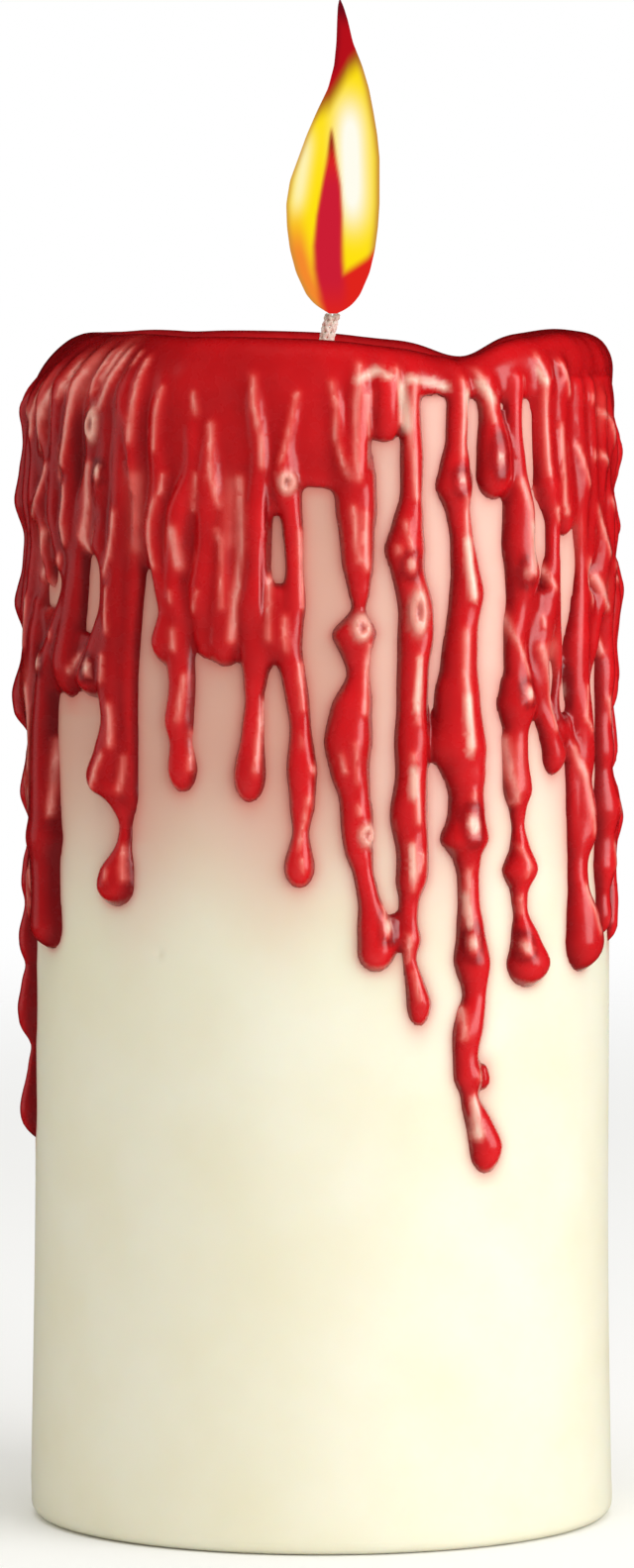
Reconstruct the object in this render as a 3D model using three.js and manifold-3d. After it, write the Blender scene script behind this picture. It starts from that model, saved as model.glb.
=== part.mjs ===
// A pillar candle that has burnt down a little: an ivory wax body with red wax poured over its rim,
// running down the side in beaded drips, a braided wick in its steel sustainer, and a flame.
// Millimetres, +Z up, standing on z = 0 with the candle's axis on Z. The front faces -Y.

import * as THREE from 'three';
import { mergeVertices } from 'three/addons/utils/BufferGeometryUtils.js';
import Module from 'manifold-3d';

const wasm = await Module();
wasm.setup();

// Driving dimensions.
const GAP = 0.3; // clearance between pieces that touch
const WELD = 0.01; // corners closer than this become one after a cut
const FINEST = 0.05; // the cut wax keeps no detail finer than this
const BODY_RADIUS = 38; // a 3 inch pillar
const FOOT_RADIUS = 38.6; // the moulded body is slightly wider at its foot
const FOOT_ROUNDING = 1.8;
const RIM_HEIGHT = 150; // a 6 inch pillar, burnt down by about 2 mm
const RIM_ROUNDING = 2;
const CRATER_HEIGHT = 147; // the melted hollow round the wick
const CRATER_RADIUS = 18;
const CRATER_TOP_RADIUS = 31;
const BODY_SEGMENTS = 72;

const COAT_RADIUS = 39.1; // outside of the poured coat, between the drips
const COAT_NECK_HEIGHT = 145; // the coat is even above this height and ragged below it
const COAT_EDGE_HEIGHT = 138; // usual height of the coat's lower edge
const CREST_HEIGHT = 157.2; // top of the piled-up red rim
const CREST_RADIUS = 33.5;
const POOL_HEIGHT = 150.5; // surface of the red pool in the crater
const COAT_TURN = 0.023; // radians, so that the coat's facets never line up with the body's

const WICK_RADIUS = 1;
const WICK_FOOT_HEIGHT = 1.4;
const WICK_TIP_HEIGHT = 159.3;
const WICK_LEAN = 1.5; // how far the burnt tip leans to the right
const BORE_RADIUS = WICK_RADIUS + GAP;

const TAB_RADIUS = 10;
const TAB_THICKNESS = 0.4;
const TAB_HEIGHT = 0.5; // clear of the surface the candle stands on
const NECK_RADIUS = 1.8;
const NECK_TOP_HEIGHT = 7;
const RECESS_RADIUS = TAB_RADIUS + 0.6;
const RECESS_HEIGHT = 1.2;

const DRIP_SEGMENTS = 8;
const DRIP_DEPTH = 0.82; // how far a drip stands out, as a share of its half width

// Drips on the front and sides, from the top of each one down. A station is [height, angle, half width],
// with the angle in degrees from the front, positive to the right, and the last height is the drip's end.
const FRONT_DRIPS = [
  { end: 51, stations: [[152, -84, 1.6], [146, -86, 2.6], [141, -85, 2], [136, -86, 3.1],
    [130, -85, 1.9], [121.5, -86, 3.1], [116.5, -85, 2.2], [109, -86, 3.7], [103.5, -83, 1.5],
    [97, -84, 2.6], [91.5, -83, 1.5], [83.5, -84, 2.5], [77, -84, 2.6], [74, -84, 1.2], [68, -85, 2.6],
    [63, -84, 1.1], [55, -84, 2.4]] },
  { end: 78, stations: [[151, -75, 2.2], [128, -75, 2.4], [112, -76, 3], [98, -75, 2.6],
    [82, -74, 2.2]] },
  { end: 76.3, stations: [[152, -65, 2.4], [130, -64, 3.2], [122, -66, 2.4], [112, -64, 3.8],
    [103, -65, 3.2], [91, -65, 4.1], [86, -65, 3.4], [80.5, -64.5, 3.6]] },
  { end: 109.5, stations: [[152, -55, 2.4], [128, -56, 3], [114, -56, 3.6]] },
  { end: 111, stations: [[152, -47, 2.2], [130, -46, 2.6], [116, -48, 3]] },
  { end: 83, stations: [[152, -39, 1.8], [128, -40.5, 2.4], [110, -41.5, 2.7], [100, -44.5, 4],
    [96.5, -41.5, 2], [92.5, -40.5, 1.1], [86, -43.3, 3]] },
  { end: 98.2, stations: [[145, -29, 1.8], [128, -29, 2.2], [118, -29, 3.2], [112, -27.8, 1.9],
    [106.5, -28.3, 2.1], [101, -27.5, 2.1]] },
  { end: 114.4, stations: [[145, -20, 1.8], [128, -20, 2.2], [118, -19, 3]] },
  { end: 97.1, stations: [[145, -12, 1.8], [124, -12.5, 2.6], [116, -12.4, 2.6], [110, -13.2, 1.3],
    [100, -14.2, 2.1]] },
  { end: 86.2, stations: [[145, -6, 1.6], [126, -4.8, 1.2], [110, -5, 1.8], [100, -3.9, 1.9],
    [93, -4.1, 1.2], [89, -4.4, 2]] },
  { end: 75.4, stations: [[150, 7, 1.6], [137, 6.5, 1.9], [126, 7, 1], [118.8, 6, 3], [114.3, 7.6, 1.2],
    [105.5, 5.1, 3.2], [97.5, 6.3, 2.1], [90, 6.8, 1.8], [85, 8.8, 1.5], [79, 10.3, 2.4]] },
  { end: 143.3, stations: [[152, 12.3, 1.2], [145.5, 12.3, 1.6]] },
  { end: 68.3, stations: [[150, 17.5, 1.4], [136, 17.2, 1.6], [130, 16, 2.8], [124, 18, 2],
    [118, 18.5, 2.4], [105, 17.5, 2.4], [95, 16.5, 2.6], [88, 17.1, 2.1], [83, 16.4, 1.2],
    [76.5, 16.7, 0.9], [71, 18.6, 1.7]] },
  { end: 49.2, stations: [[152, 27.5, 1.7], [143, 27, 1.7], [137.5, 26.3, 2.7], [132, 27.8, 1.7],
    [123, 29.3, 2.4], [113, 27.4, 3], [103.5, 27, 4.1], [96.5, 28.2, 2.6], [92, 27.7, 3.6],
    [87.5, 28.7, 1.6], [77, 29.3, 2.6], [68.5, 28.4, 2.1], [61.5, 29.3, 2.2], [59, 29.3, 1.3],
    [53, 31.5, 2.3]] },
  { end: 135.7, stations: [[152, 35, 1.6], [145, 35, 1.9], [139, 35, 2.7]] },
  { end: 72.5, stations: [[152, 41.5, 1.8], [132, 40.6, 2.6], [124, 41, 2.6], [116, 39.9, 2],
    [109.5, 40.2, 3.3], [98.5, 40, 2.3], [93.5, 40, 1.1], [88, 40.6, 3.1], [83, 40.5, 1.3],
    [76.2, 42.6, 3.6]] },
  { end: 99.8, stations: [[152, 48, 2], [137, 48, 2.6], [120, 47.5, 2.6], [108, 47.5, 2],
    [102.4, 50.2, 2.2]] },
  { end: 73.2, stations: [[152, 56, 2], [134, 54, 2.4], [118, 58.5, 3.4], [110, 57, 2],
    [101, 58.3, 3.2], [92, 58.3, 2.8], [87, 57.4, 2], [78.5, 59.3, 4.2]] },
  { end: 112, stations: [[152, 64, 2.2], [132, 65, 2.6], [118, 65, 3.2]] },
  { end: 77.6, stations: [[150, 73, 2.4], [128, 73, 2.8], [110, 71.5, 2.9], [105.5, 70.5, 2],
    [94, 71.3, 3.4], [86, 69.8, 2.2], [80, 72.5, 1.8]] },
  { end: 78.5, stations: [[150, 84, 1.8], [141.5, 85, 2.2], [135, 84, 1.4], [122, 85, 2.2],
    [110, 84, 1.8], [106, 83, 1.1], [92.5, 84, 2.2], [82, 82, 1.4]] },
];

// Drips on the back: evenly spread, with lengths and beads that vary from one to the next.
const BACK_DRIP_COUNT = 19;
const BACK_FIRST_ANGLE = 94;
const BACK_LAST_ANGLE = 266;

// Shape of the flame: [height, left edge, right edge] in the X-Z plane.
const FLAME_BASE_HEIGHT = WICK_TIP_HEIGHT + GAP;
const FLAME_TIP = { height: 200.4, x: 2.2 };
const FLAME_OUTLINE = [[161.5, -2.0, 5.0], [164.5, -3.3, 6.2], [168.5, -4.3, 7.1], [173.5, -4.7, 7.6],
  [179.5, -3.0, 7.6], [185.5, -0.7, 6.8], [191.5, 1.6, 5.3], [196, 2.0, 3.8]];
const FLAME_SEGMENTS = 20;
const FLAME_DEPTH = 0.9; // front-to-back size as a share of the width

function material(color, roughness, metalness = 0) {
  return new THREE.MeshStandardMaterial({ color, roughness, metalness });
}

// A lathe turned about Z instead of Y. The profile is [radius, height] pairs, read from the bottom up.
function turned(profile, segments) {
  const geometry = new THREE.LatheGeometry(profile.map(([x, y]) => new THREE.Vector2(x, y)), segments);
  return geometry.rotateX(Math.PI / 2);
}

// Moves every vertex of a geometry by a function of its position.
function reshaped(geometry, move) {
  const positions = geometry.getAttribute('position');
  const vertex = new THREE.Vector3();
  for (let i = 0; i < positions.count; i += 1) {
    vertex.fromBufferAttribute(positions, i);
    move(vertex);
    positions.setXYZ(i, vertex.x, vertex.y, vertex.z);
  }
  return geometry;
}

function toSolid(geometry, weld = 1e-4) {
  const bare = geometry.clone();
  bare.deleteAttribute('normal');
  bare.deleteAttribute('uv');
  const merged = mergeVertices(bare, weld);
  return new wasm.Manifold(new wasm.Mesh({
    numProp: 3,
    vertProperties: Float32Array.from(merged.getAttribute('position').array),
    triVerts: Uint32Array.from(merged.getIndex().array),
  }));
}

function toGeometry(solid) {
  const mesh = solid.getMesh();
  const geometry = new THREE.BufferGeometry();
  geometry.setAttribute('position', new THREE.BufferAttribute(mesh.vertProperties, 3));
  geometry.setIndex(new THREE.BufferAttribute(mesh.triVerts, 1));
  geometry.computeVertexNormals();
  return geometry;
}

// Value at x on the broken line through [x, value, ...] rows, whose x rises.
function along(rows, x, column) {
  const next = rows.findIndex((row) => row[0] >= x);
  if (next === -1) return rows[rows.length - 1][column];
  if (next === 0) return rows[0][column];
  const [low, high] = [rows[next - 1], rows[next]];
  return THREE.MathUtils.lerp(low[column], high[column], (x - low[0]) / (high[0] - low[0]));
}

// Quarter circle of [radius, height] pairs about a centre, between two angles in degrees.
function arc(centreX, centreY, radius, fromDegrees, toDegrees, steps) {
  return Array.from({ length: steps + 1 }, (_, i) => {
    const angle = THREE.MathUtils.degToRad(THREE.MathUtils.lerp(fromDegrees, toDegrees, i / steps));
    return [centreX + radius * Math.cos(angle), centreY + radius * Math.sin(angle)];
  });
}

// The body's outside from its foot up to the edge of the crater, grown outwards by a margin.
function bodyOutline(margin) {
  const foot = FOOT_RADIUS - FOOT_ROUNDING;
  const rim = BODY_RADIUS - RIM_ROUNDING;
  return [
    ...arc(foot, FOOT_ROUNDING, FOOT_ROUNDING + margin, -90, 0, 3),
    [FOOT_RADIUS + margin, 10],
    [BODY_RADIUS + 0.25 + margin, 26],
    [BODY_RADIUS + margin, 45],
    ...arc(rim, RIM_HEIGHT - RIM_ROUNDING, RIM_ROUNDING + margin, 0, 90, 3),
    [CRATER_TOP_RADIUS, RIM_HEIGHT + margin],
    [CRATER_RADIUS, CRATER_HEIGHT + margin],
  ];
}

function makeWaxBody() {
  const inside = [
    [BORE_RADIUS, CRATER_HEIGHT],
    [BORE_RADIUS, NECK_TOP_HEIGHT + GAP],
    [NECK_RADIUS + GAP, NECK_TOP_HEIGHT + GAP],
    [NECK_RADIUS + GAP, RECESS_HEIGHT],
    [RECESS_RADIUS, RECESS_HEIGHT],
    [RECESS_RADIUS, 0],
  ];
  const outline = bodyOutline(0);
  return turned([...outline, ...inside, outline[0]], BODY_SEGMENTS);
}

// Height of the red rim's crest. It sags in a trough that crosses the top, right of the wick.
function crestHeight(x) {
  const trough = Math.exp(-(((x - 18) / 7) ** 2));
  return CREST_HEIGHT - 3 * trough;
}

// Height of the coat's lower edge: level over the front, lower on both sides and uneven at the back.
function coatEdge(angle) {
  const side = 1 - Math.cos(angle);
  return COAT_EDGE_HEIGHT + 3 * Math.sin(2 * angle + 0.6) - 6 * Math.min(side, 1) + 2 * Math.sin(7 * angle);
}

function makeCoat() {
  const profile = [
    [0, COAT_EDGE_HEIGHT],
    [BODY_RADIUS - 1.5, COAT_EDGE_HEIGHT],
    [COAT_RADIUS - 0.4, COAT_EDGE_HEIGHT + 0.3],
    [COAT_RADIUS, COAT_EDGE_HEIGHT + 1.2],
    [COAT_RADIUS, COAT_NECK_HEIGHT],
    ...arc(CREST_RADIUS, CREST_HEIGHT - 5.6, 5.6, 0, 90, 4),
    [CREST_RADIUS - 5, CREST_HEIGHT - 1.6],
    [22, POOL_HEIGHT + 1.2],
    [15, POOL_HEIGHT],
    [0, POOL_HEIGHT],
  ];
  const blank = turned(profile, BODY_SEGMENTS).rotateZ(COAT_TURN);
  return reshaped(blank, (vertex) => {
    const angle = Math.atan2(vertex.x, -vertex.y);
    if (vertex.z < COAT_NECK_HEIGHT) {
      const share = (COAT_NECK_HEIGHT - vertex.z) / (COAT_NECK_HEIGHT - COAT_EDGE_HEIGHT);
      vertex.z = COAT_NECK_HEIGHT - share * (COAT_NECK_HEIGHT - coatEdge(angle));
    } else {
      const share = Math.max(0, (vertex.z - POOL_HEIGHT) / (CREST_HEIGHT - POOL_HEIGHT));
      vertex.z += share * (crestHeight(vertex.x) - CREST_HEIGHT);
    }
  });
}

// A drip is turned as a string of beads and then laid on the body's side along its own path.
function makeDrip({ end, stations }) {
  const rising = [...stations].reverse();
  const [lowest, highest] = [rising[0], rising[rising.length - 1]];
  const profile = [
    [0, end],
    [0.72 * lowest[2], end + 0.3 * (lowest[0] - end)],
    ...rising.map(([height, , halfWidth]) => [halfWidth, height]),
    [0, highest[0] + 1],
  ];
  return reshaped(turned(profile, DRIP_SEGMENTS), (vertex) => {
    const path = THREE.MathUtils.degToRad(along(rising, vertex.z, 1));
    const angle = path + vertex.x / COAT_RADIUS;
    const radius = BODY_RADIUS + 0.1 - DRIP_DEPTH * vertex.y;
    vertex.x = radius * Math.sin(angle);
    vertex.y = -radius * Math.cos(angle);
  });
}

// One of the back's drips. The wave terms only spread the lengths, widths and bead places.
function backDrip(index) {
  const angle = THREE.MathUtils.lerp(BACK_FIRST_ANGLE, BACK_LAST_ANGLE, index / (BACK_DRIP_COUNT - 1));
  const end = 95 + 24 * Math.sin(2.4 * index + 0.7) + 9 * Math.sin(5.1 * index);
  const width = 2.1 + 0.4 * Math.sin(3.7 * index + 1);
  const beadHeight = 0.5 * (end + 140) + 5 * Math.sin(4.3 * index);
  const sway = 1.5 * Math.sin(1.9 * index);
  return {
    end,
    stations: [
      [152, angle, width],
      [140, angle + sway, width * 1.15],
      [beadHeight + 6, angle, width * 0.7],
      [beadHeight, angle - sway, width * 1.4],
      [beadHeight - 6, angle - sway, width * 0.8],
      [end + 7, angle, width * 0.65],
      [end + 3, angle + 0.5 * sway, width * 1.2],
    ],
  };
}

function makeRedWax() {
  const backDrips = Array.from({ length: BACK_DRIP_COUNT }, (_, index) => backDrip(index));
  let solid = toSolid(makeCoat());
  for (const drip of [...FRONT_DRIPS, ...backDrips]) {
    solid = solid.add(toSolid(makeDrip(drip)));
  }
  const body = [[0, -GAP], ...bodyOutline(GAP), [0, CRATER_HEIGHT + GAP]];
  const bore = [[0, CRATER_HEIGHT - 5], [BORE_RADIUS, CRATER_HEIGHT - 5],
    [BORE_RADIUS, POOL_HEIGHT + 5],
    [0, POOL_HEIGHT + 5]];
  solid = solid.subtract(toSolid(turned(body, BODY_SEGMENTS)));
  solid = solid.subtract(toSolid(turned(bore, 24)));
  return toGeometry(toSolid(toGeometry(solid), WELD).simplify(FINEST));
}

// The wick runs straight up to the pool and leans to one side above it.
function makeWick() {
  const bendStart = POOL_HEIGHT + 0.5;
  const bend = WICK_TIP_HEIGHT - bendStart;
  const profile = [
    [0, WICK_FOOT_HEIGHT],
    [WICK_RADIUS, WICK_FOOT_HEIGHT],
    ...[0, 0.2, 0.4, 0.6, 0.8].map((share) => [WICK_RADIUS, bendStart + share * bend]),
    [0.8 * WICK_RADIUS, WICK_TIP_HEIGHT],
    [0, WICK_TIP_HEIGHT],
  ];
  return reshaped(turned(profile, 12), (vertex) => {
    const share = Math.max(0, (vertex.z - bendStart) / bend);
    vertex.x += WICK_LEAN * share ** 1.5;
  });
}

// The sustainer: a pressed disc with a neck that is crimped on the wick's foot.
function makeSustainer() {
  const top = TAB_HEIGHT + TAB_THICKNESS;
  return turned([
    [BORE_RADIUS, TAB_HEIGHT],
    [TAB_RADIUS, TAB_HEIGHT],
    [TAB_RADIUS, top],
    [NECK_RADIUS + 0.15, top],
    [NECK_RADIUS, top + 0.4],
    [NECK_RADIUS, NECK_TOP_HEIGHT],
    [BORE_RADIUS, NECK_TOP_HEIGHT],
    [BORE_RADIUS, TAB_HEIGHT],
  ], 36);
}

function makeFlame() {
  const middle = (row) => (row[1] + row[2]) / 2;
  const halfWidth = (row) => (row[2] - row[1]) / 2;
  const profile = [
    [0, FLAME_BASE_HEIGHT],
    [1.9, FLAME_BASE_HEIGHT + 0.5],
    ...FLAME_OUTLINE.map((row) => [halfWidth(row), row[0]]),
    [0, FLAME_TIP.height],
  ];
  const spine = [
    [FLAME_BASE_HEIGHT, WICK_LEAN],
    ...FLAME_OUTLINE.map((row) => [row[0], middle(row)]),
    [FLAME_TIP.height, FLAME_TIP.x],
  ];
  return reshaped(turned(profile, FLAME_SEGMENTS), (vertex) => {
    vertex.x += along(spine, vertex.z, 1);
    vertex.y *= FLAME_DEPTH;
  });
}

function piece(name, geometry, look) {
  const mesh = new THREE.Mesh(geometry, look);
  mesh.name = name;
  return mesh;
}

const candle = new THREE.Group();
candle.add(piece('wax_body', makeWaxBody(), material('#F1ECD0', 0.5)));
candle.add(piece('red_wax', makeRedWax(), material('#B8121A', 0.15)));
candle.add(piece('wick', makeWick(), material('#E6DCC4', 0.9)));
candle.add(piece('wick_sustainer', makeSustainer(), material('#B9BCC0', 0.35, 1)));
candle.add(piece('flame', makeFlame(), material('#FFC81E', 0.6)));

export default candle;
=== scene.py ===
import math

import bpy
import numpy as np
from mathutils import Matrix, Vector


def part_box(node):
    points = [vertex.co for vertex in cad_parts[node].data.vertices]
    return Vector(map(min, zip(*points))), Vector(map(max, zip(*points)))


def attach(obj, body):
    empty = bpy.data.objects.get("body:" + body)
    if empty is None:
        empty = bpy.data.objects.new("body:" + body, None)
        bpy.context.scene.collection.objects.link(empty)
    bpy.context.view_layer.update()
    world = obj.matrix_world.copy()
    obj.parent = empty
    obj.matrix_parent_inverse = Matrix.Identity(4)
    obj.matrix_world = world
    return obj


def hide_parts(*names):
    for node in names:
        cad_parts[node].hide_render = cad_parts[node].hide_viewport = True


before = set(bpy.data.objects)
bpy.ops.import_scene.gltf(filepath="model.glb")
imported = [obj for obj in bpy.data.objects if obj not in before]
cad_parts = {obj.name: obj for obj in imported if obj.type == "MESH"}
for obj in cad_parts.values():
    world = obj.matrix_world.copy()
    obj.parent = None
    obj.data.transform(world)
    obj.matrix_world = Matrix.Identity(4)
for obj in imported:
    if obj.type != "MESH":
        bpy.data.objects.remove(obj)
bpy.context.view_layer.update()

import openvdb
from mathutils import Vector

MM = 0.001
scene = bpy.context.scene
scene.view_settings.view_transform = "Standard"


# ---------------------------------------------------------------------------------------------------
# The ivory body. A pillar of moulded paraffin wax, cast in a tube mould whose foot is a little wider.
# Burning has melted a shallow crater round the wick, and the base has a recess for the wick's clip.

body_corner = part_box("wax_body")[1]
BODY_RADIUS = 38.0
FOOT_RADIUS = body_corner.x / MM
RIM_HEIGHT = body_corner.z / MM
FLARE_HEIGHT = 45.0  # below this the wall leans out towards the foot
FLARE_RUN = 40.0
FOOT_ROUNDING = 1.8
RIM_ROUNDING = 2.0
CRATER_HEIGHT = RIM_HEIGHT - 3.0
CRATER_RADIUS = 18.0
CRATER_TOP_RADIUS = 31.0
RECESS_RADIUS = 10.6
RECESS_HEIGHT = 1.2
CLIP_BORE_RADIUS = 2.1
CLIP_BORE_HEIGHT = 7.3
WICK_BORE_RADIUS = 1.3
CHIP_BEARING, CHIP_HEIGHT, CHIP_DEPTH = -33.5, 77, 0.35


def linear(hex_colour):
    """The linear RGBA of an sRGB hex colour."""
    channels = [int(hex_colour[i:i + 2], 16) / 255 for i in (1, 3, 5)]
    straight = [c / 12.92 if c <= 0.04045 else ((c + 0.055) / 1.055) ** 2.4 for c in channels]
    return (*straight, 1.0)


def add_node(tree, kind, settings=None, inputs=None):
    """Adds a node, sets its properties and fills its inputs with values or with other nodes' outputs."""
    node = tree.nodes.new(kind)
    for name, value in (settings or {}).items():
        setattr(node, name, value)
    for name, value in (inputs or {}).items():
        socket = node.inputs[name]
        if isinstance(value, bpy.types.NodeSocket):
            tree.links.new(value, socket)
        else:
            socket.default_value = value
    return node


def new_material(name):
    """A node material with only an output; returns it with its tree and that output."""
    material = bpy.data.materials.new(name)
    material.use_nodes = True
    tree = material.node_tree
    tree.nodes.clear()
    return material, tree, add_node(tree, "ShaderNodeOutputMaterial")


def set_ramp(node, stops, interpolation="LINEAR"):
    """Fills a colour ramp with (position, linear colour) stops."""
    ramp = node.color_ramp
    ramp.interpolation = interpolation
    while len(ramp.elements) < len(stops):
        ramp.elements.new(0.5)
    for element, (position, colour) in zip(ramp.elements, stops):
        element.position = position
        element.color = colour


def mesh_piece(name, points_mm, faces, material):
    """A smooth-shaded object in the scene from points in millimetres."""
    mesh = bpy.data.meshes.new(name)
    mesh.from_pydata((np.asarray(points_mm) * MM).tolist(), [], faces)
    mesh.validate()
    mesh.materials.append(material)
    mesh.shade_smooth()
    piece = bpy.data.objects.new(name, mesh)
    scene.collection.objects.link(piece)
    return piece


def arc(centre, radius, start, end, count):
    """Points of a circle arc as (radius, height) pairs, angles in degrees."""
    angles = np.radians(np.linspace(start, end, count))
    return [(centre[0] + radius * math.cos(a), centre[1] + radius * math.sin(a)) for a in angles]


def turned_grid(outline, columns):
    """Points and quads of a closed outline of (radius, height) pairs turned about Z."""
    rows = len(outline)
    turns = np.linspace(0, 2 * math.pi, columns, endpoint=False)
    points = [(r * math.sin(t), -r * math.cos(t), z) for r, z in outline for t in turns]
    faces = []
    for row in range(rows):
        above = (row + 1) % rows
        for column in range(columns):
            beside = (column + 1) % columns
            faces.append((row * columns + column, row * columns + beside,
                          above * columns + beside, above * columns + column))
    return np.array(points), faces


def wall_radius(height):
    """Radius of the body's wall: straight, then flared near the foot."""
    flare = np.clip((FLARE_HEIGHT - height) / FLARE_RUN, 0.0, 1.0)
    return BODY_RADIUS + (FOOT_RADIUS - BODY_RADIUS) * flare ** 1.5


foot_centre = (FOOT_RADIUS - FOOT_ROUNDING, FOOT_ROUNDING)
rim_centre = (BODY_RADIUS - RIM_ROUNDING, RIM_HEIGHT - RIM_ROUNDING)
wall_heights = np.append(np.linspace(FOOT_ROUNDING + 1.0, FLARE_HEIGHT - 1.0, 20),
                         np.linspace(FLARE_HEIGHT, RIM_HEIGHT - RIM_ROUNDING - 0.6, 168))
body_outline = [
    (RECESS_RADIUS, 0.0), (RECESS_RADIUS + 0.3, 0.0), (20.0, 0.0), (30.0, 0.0),
    *arc(foot_centre, FOOT_ROUNDING, -90, 0, 6),
    *[(float(wall_radius(z)), float(z)) for z in wall_heights],
    *arc(rim_centre, RIM_ROUNDING, 0, 90, 6),
    (CRATER_TOP_RADIUS, RIM_HEIGHT), (CRATER_RADIUS, CRATER_HEIGHT), (8.0, CRATER_HEIGHT),
    (WICK_BORE_RADIUS, CRATER_HEIGHT), (WICK_BORE_RADIUS, 100.0), (WICK_BORE_RADIUS, 50.0),
    (WICK_BORE_RADIUS, CLIP_BORE_HEIGHT), (CLIP_BORE_RADIUS, CLIP_BORE_HEIGHT),
    (CLIP_BORE_RADIUS, RECESS_HEIGHT + 0.2), (CLIP_BORE_RADIUS, RECESS_HEIGHT),
    (RECESS_RADIUS - 0.3, RECESS_HEIGHT), (RECESS_RADIUS, RECESS_HEIGHT),
]
body_points, body_faces = turned_grid(body_outline, 400)

# The mould leaves the wall very slightly uneven, and there is one small chip, left of the front.
bearing = np.arctan2(body_points[:, 0], -body_points[:, 1])
reach = np.hypot(body_points[:, 0], body_points[:, 1])
height = body_points[:, 2]
on_wall = (reach > 30) & (height > 3) & (height < 147)
waviness = 0.05 * np.sin(3 * bearing + height / 31) + 0.04 * np.sin(7 * bearing - height / 17 + 1)
chip_x, chip_z = (np.degrees(bearing) - CHIP_BEARING) / 0.9, (height - CHIP_HEIGHT) / 0.6
chip = CHIP_DEPTH * np.exp(-chip_x ** 2 - chip_z ** 2)
scale = 1 + on_wall * (waviness - chip) / np.maximum(reach, 1)
body_points[:, :2] *= scale[:, None]

# Moulded ivory paraffin: satin, faintly mottled in depth, and it lets light in a few millimetres, which
# takes the hardness off its shading. Red dye tints it: "stain" is a wide warm blush, and "creep" a narrow
# red line along the drips. Both are painted once the red wax is made. The blush's colour is painted
# darker and browner on the left and pinker on the right: painted shade on the left side.
ivory_wax, tree, output = new_material("moulded ivory paraffin")
place = add_node(tree, "ShaderNodeTexCoord").outputs["Object"]
mottling = add_node(tree, "ShaderNodeTexNoise", inputs={
    "Vector": place, "Scale": 1 / 0.016, "Detail": 3.0})
ivory = add_node(tree, "ShaderNodeValToRGB", inputs={"Fac": mottling.outputs["Fac"]})
set_ramp(ivory, [(0.3, linear("#F0EACE")), (0.7, linear("#F4F0DA"))])
stain = add_node(tree, "ShaderNodeAttribute", {"attribute_name": "stain"})
sideways = add_node(tree, "ShaderNodeSeparateXYZ", inputs={"Vector": place})
# Painted shade: the blush is darker and browner left of the front, lighter and pinker right of it.
painted_side_light = add_node(tree, "ShaderNodeMapRange", inputs={
    "Value": sideways.outputs["X"], "From Min": 2.0 * MM, "From Max": 12.0 * MM})
stain_with_side_shade = add_node(tree, "ShaderNodeMix", {"data_type": "RGBA"}, {
    "Factor": painted_side_light.outputs["Result"], "A": linear("#DC9F8C"), "B": linear("#F2B3A5")})
blushing = add_node(tree, "ShaderNodeMix", {"data_type": "RGBA"}, {
    "Factor": stain.outputs["Fac"], "A": ivory.outputs["Color"], "B": stain_with_side_shade.outputs["Result"]})
creep = add_node(tree, "ShaderNodeAttribute", {"attribute_name": "creep"})
stained = add_node(tree, "ShaderNodeMix", {"data_type": "RGBA"}, {
    "Factor": creep.outputs["Fac"], "A": blushing.outputs["Result"], "B": linear("#E4564C")})
skin = add_node(tree, "ShaderNodeTexNoise", inputs={"Vector": place, "Scale": 1 / 0.004, "Detail": 4.0})
relief = add_node(tree, "ShaderNodeBump", inputs={
    "Height": skin.outputs["Fac"], "Strength": 0.25, "Distance": 0.00012})
surface = add_node(tree, "ShaderNodeBsdfPrincipled", inputs={
    "Base Color": stained.outputs["Result"], "Roughness": 0.42, "IOR": 1.44,
    "Subsurface Weight": 0.25, "Subsurface Radius": (1.0, 0.7, 0.45), "Subsurface Scale": 0.003,
    "Normal": relief.outputs["Normal"]})
tree.links.new(surface.outputs["BSDF"], output.inputs["Surface"])

ivory_body = mesh_piece("ivory_body", body_points, body_faces, ivory_wax)
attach(ivory_body, "root")
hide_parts("wax_body")


# ---------------------------------------------------------------------------------------------------
# The wick's clip. A disc pressed from tinplate with a drawn neck, crimped on the wick's foot and set in
# the recess of the base, so that the wick can't pull out or burn down to the table.

clip_low, clip_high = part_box("wick_sustainer")
CLIP_RADIUS = clip_high.x / MM
CLIP_BOTTOM = clip_low.z / MM
CLIP_TOP = clip_high.z / MM
TIN_THICKNESS = 0.4
NECK_RADIUS = 1.8
HOLE_RADIUS = 1.35
BEAD_RADIUS, BEAD_HEIGHT = 7.0, 0.12  # a pressed ring that stiffens the disc
CRIMP_HEIGHT, CRIMP_LENGTH, CRIMP_DEPTH = 4.5, 0.9, 0.22
clip_top_face = CLIP_BOTTOM + TIN_THICKNESS
bead_ring = [(r, BEAD_HEIGHT * math.cos((r - BEAD_RADIUS) * math.pi / 2))
             for r in np.linspace(BEAD_RADIUS - 1, BEAD_RADIUS + 1, 9)]
clip_outline = [
    (HOLE_RADIUS, CLIP_BOTTOM), (3.0, CLIP_BOTTOM),
    *[(r, CLIP_BOTTOM + max(rise, 0)) for r, rise in bead_ring],
    (CLIP_RADIUS - 0.1, CLIP_BOTTOM), (CLIP_RADIUS, CLIP_BOTTOM + 0.1),
    (CLIP_RADIUS, clip_top_face - 0.1), (CLIP_RADIUS - 0.1, clip_top_face),
    *[(r, clip_top_face + max(rise, 0)) for r, rise in reversed(bead_ring)],
    (3.0, clip_top_face), *arc((NECK_RADIUS + 0.7, clip_top_face + 0.7), 0.7, 270, 180, 5),
    *[(NECK_RADIUS, z) for z in (3.0, 4.0, 5.0, 6.0, CLIP_TOP)],
    *[(HOLE_RADIUS, z) for z in (CLIP_TOP, 5.0, 4.0, 3.0)],
]
clip_points, clip_faces = turned_grid(clip_outline, 96)
crimp = np.exp(-((clip_points[:, 2] - CRIMP_HEIGHT) / CRIMP_LENGTH) ** 2)
crimp *= np.hypot(clip_points[:, 0], clip_points[:, 1]) < NECK_RADIUS + 0.2
clip_points[:, 1] *= 1 - CRIMP_DEPTH * crimp

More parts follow.
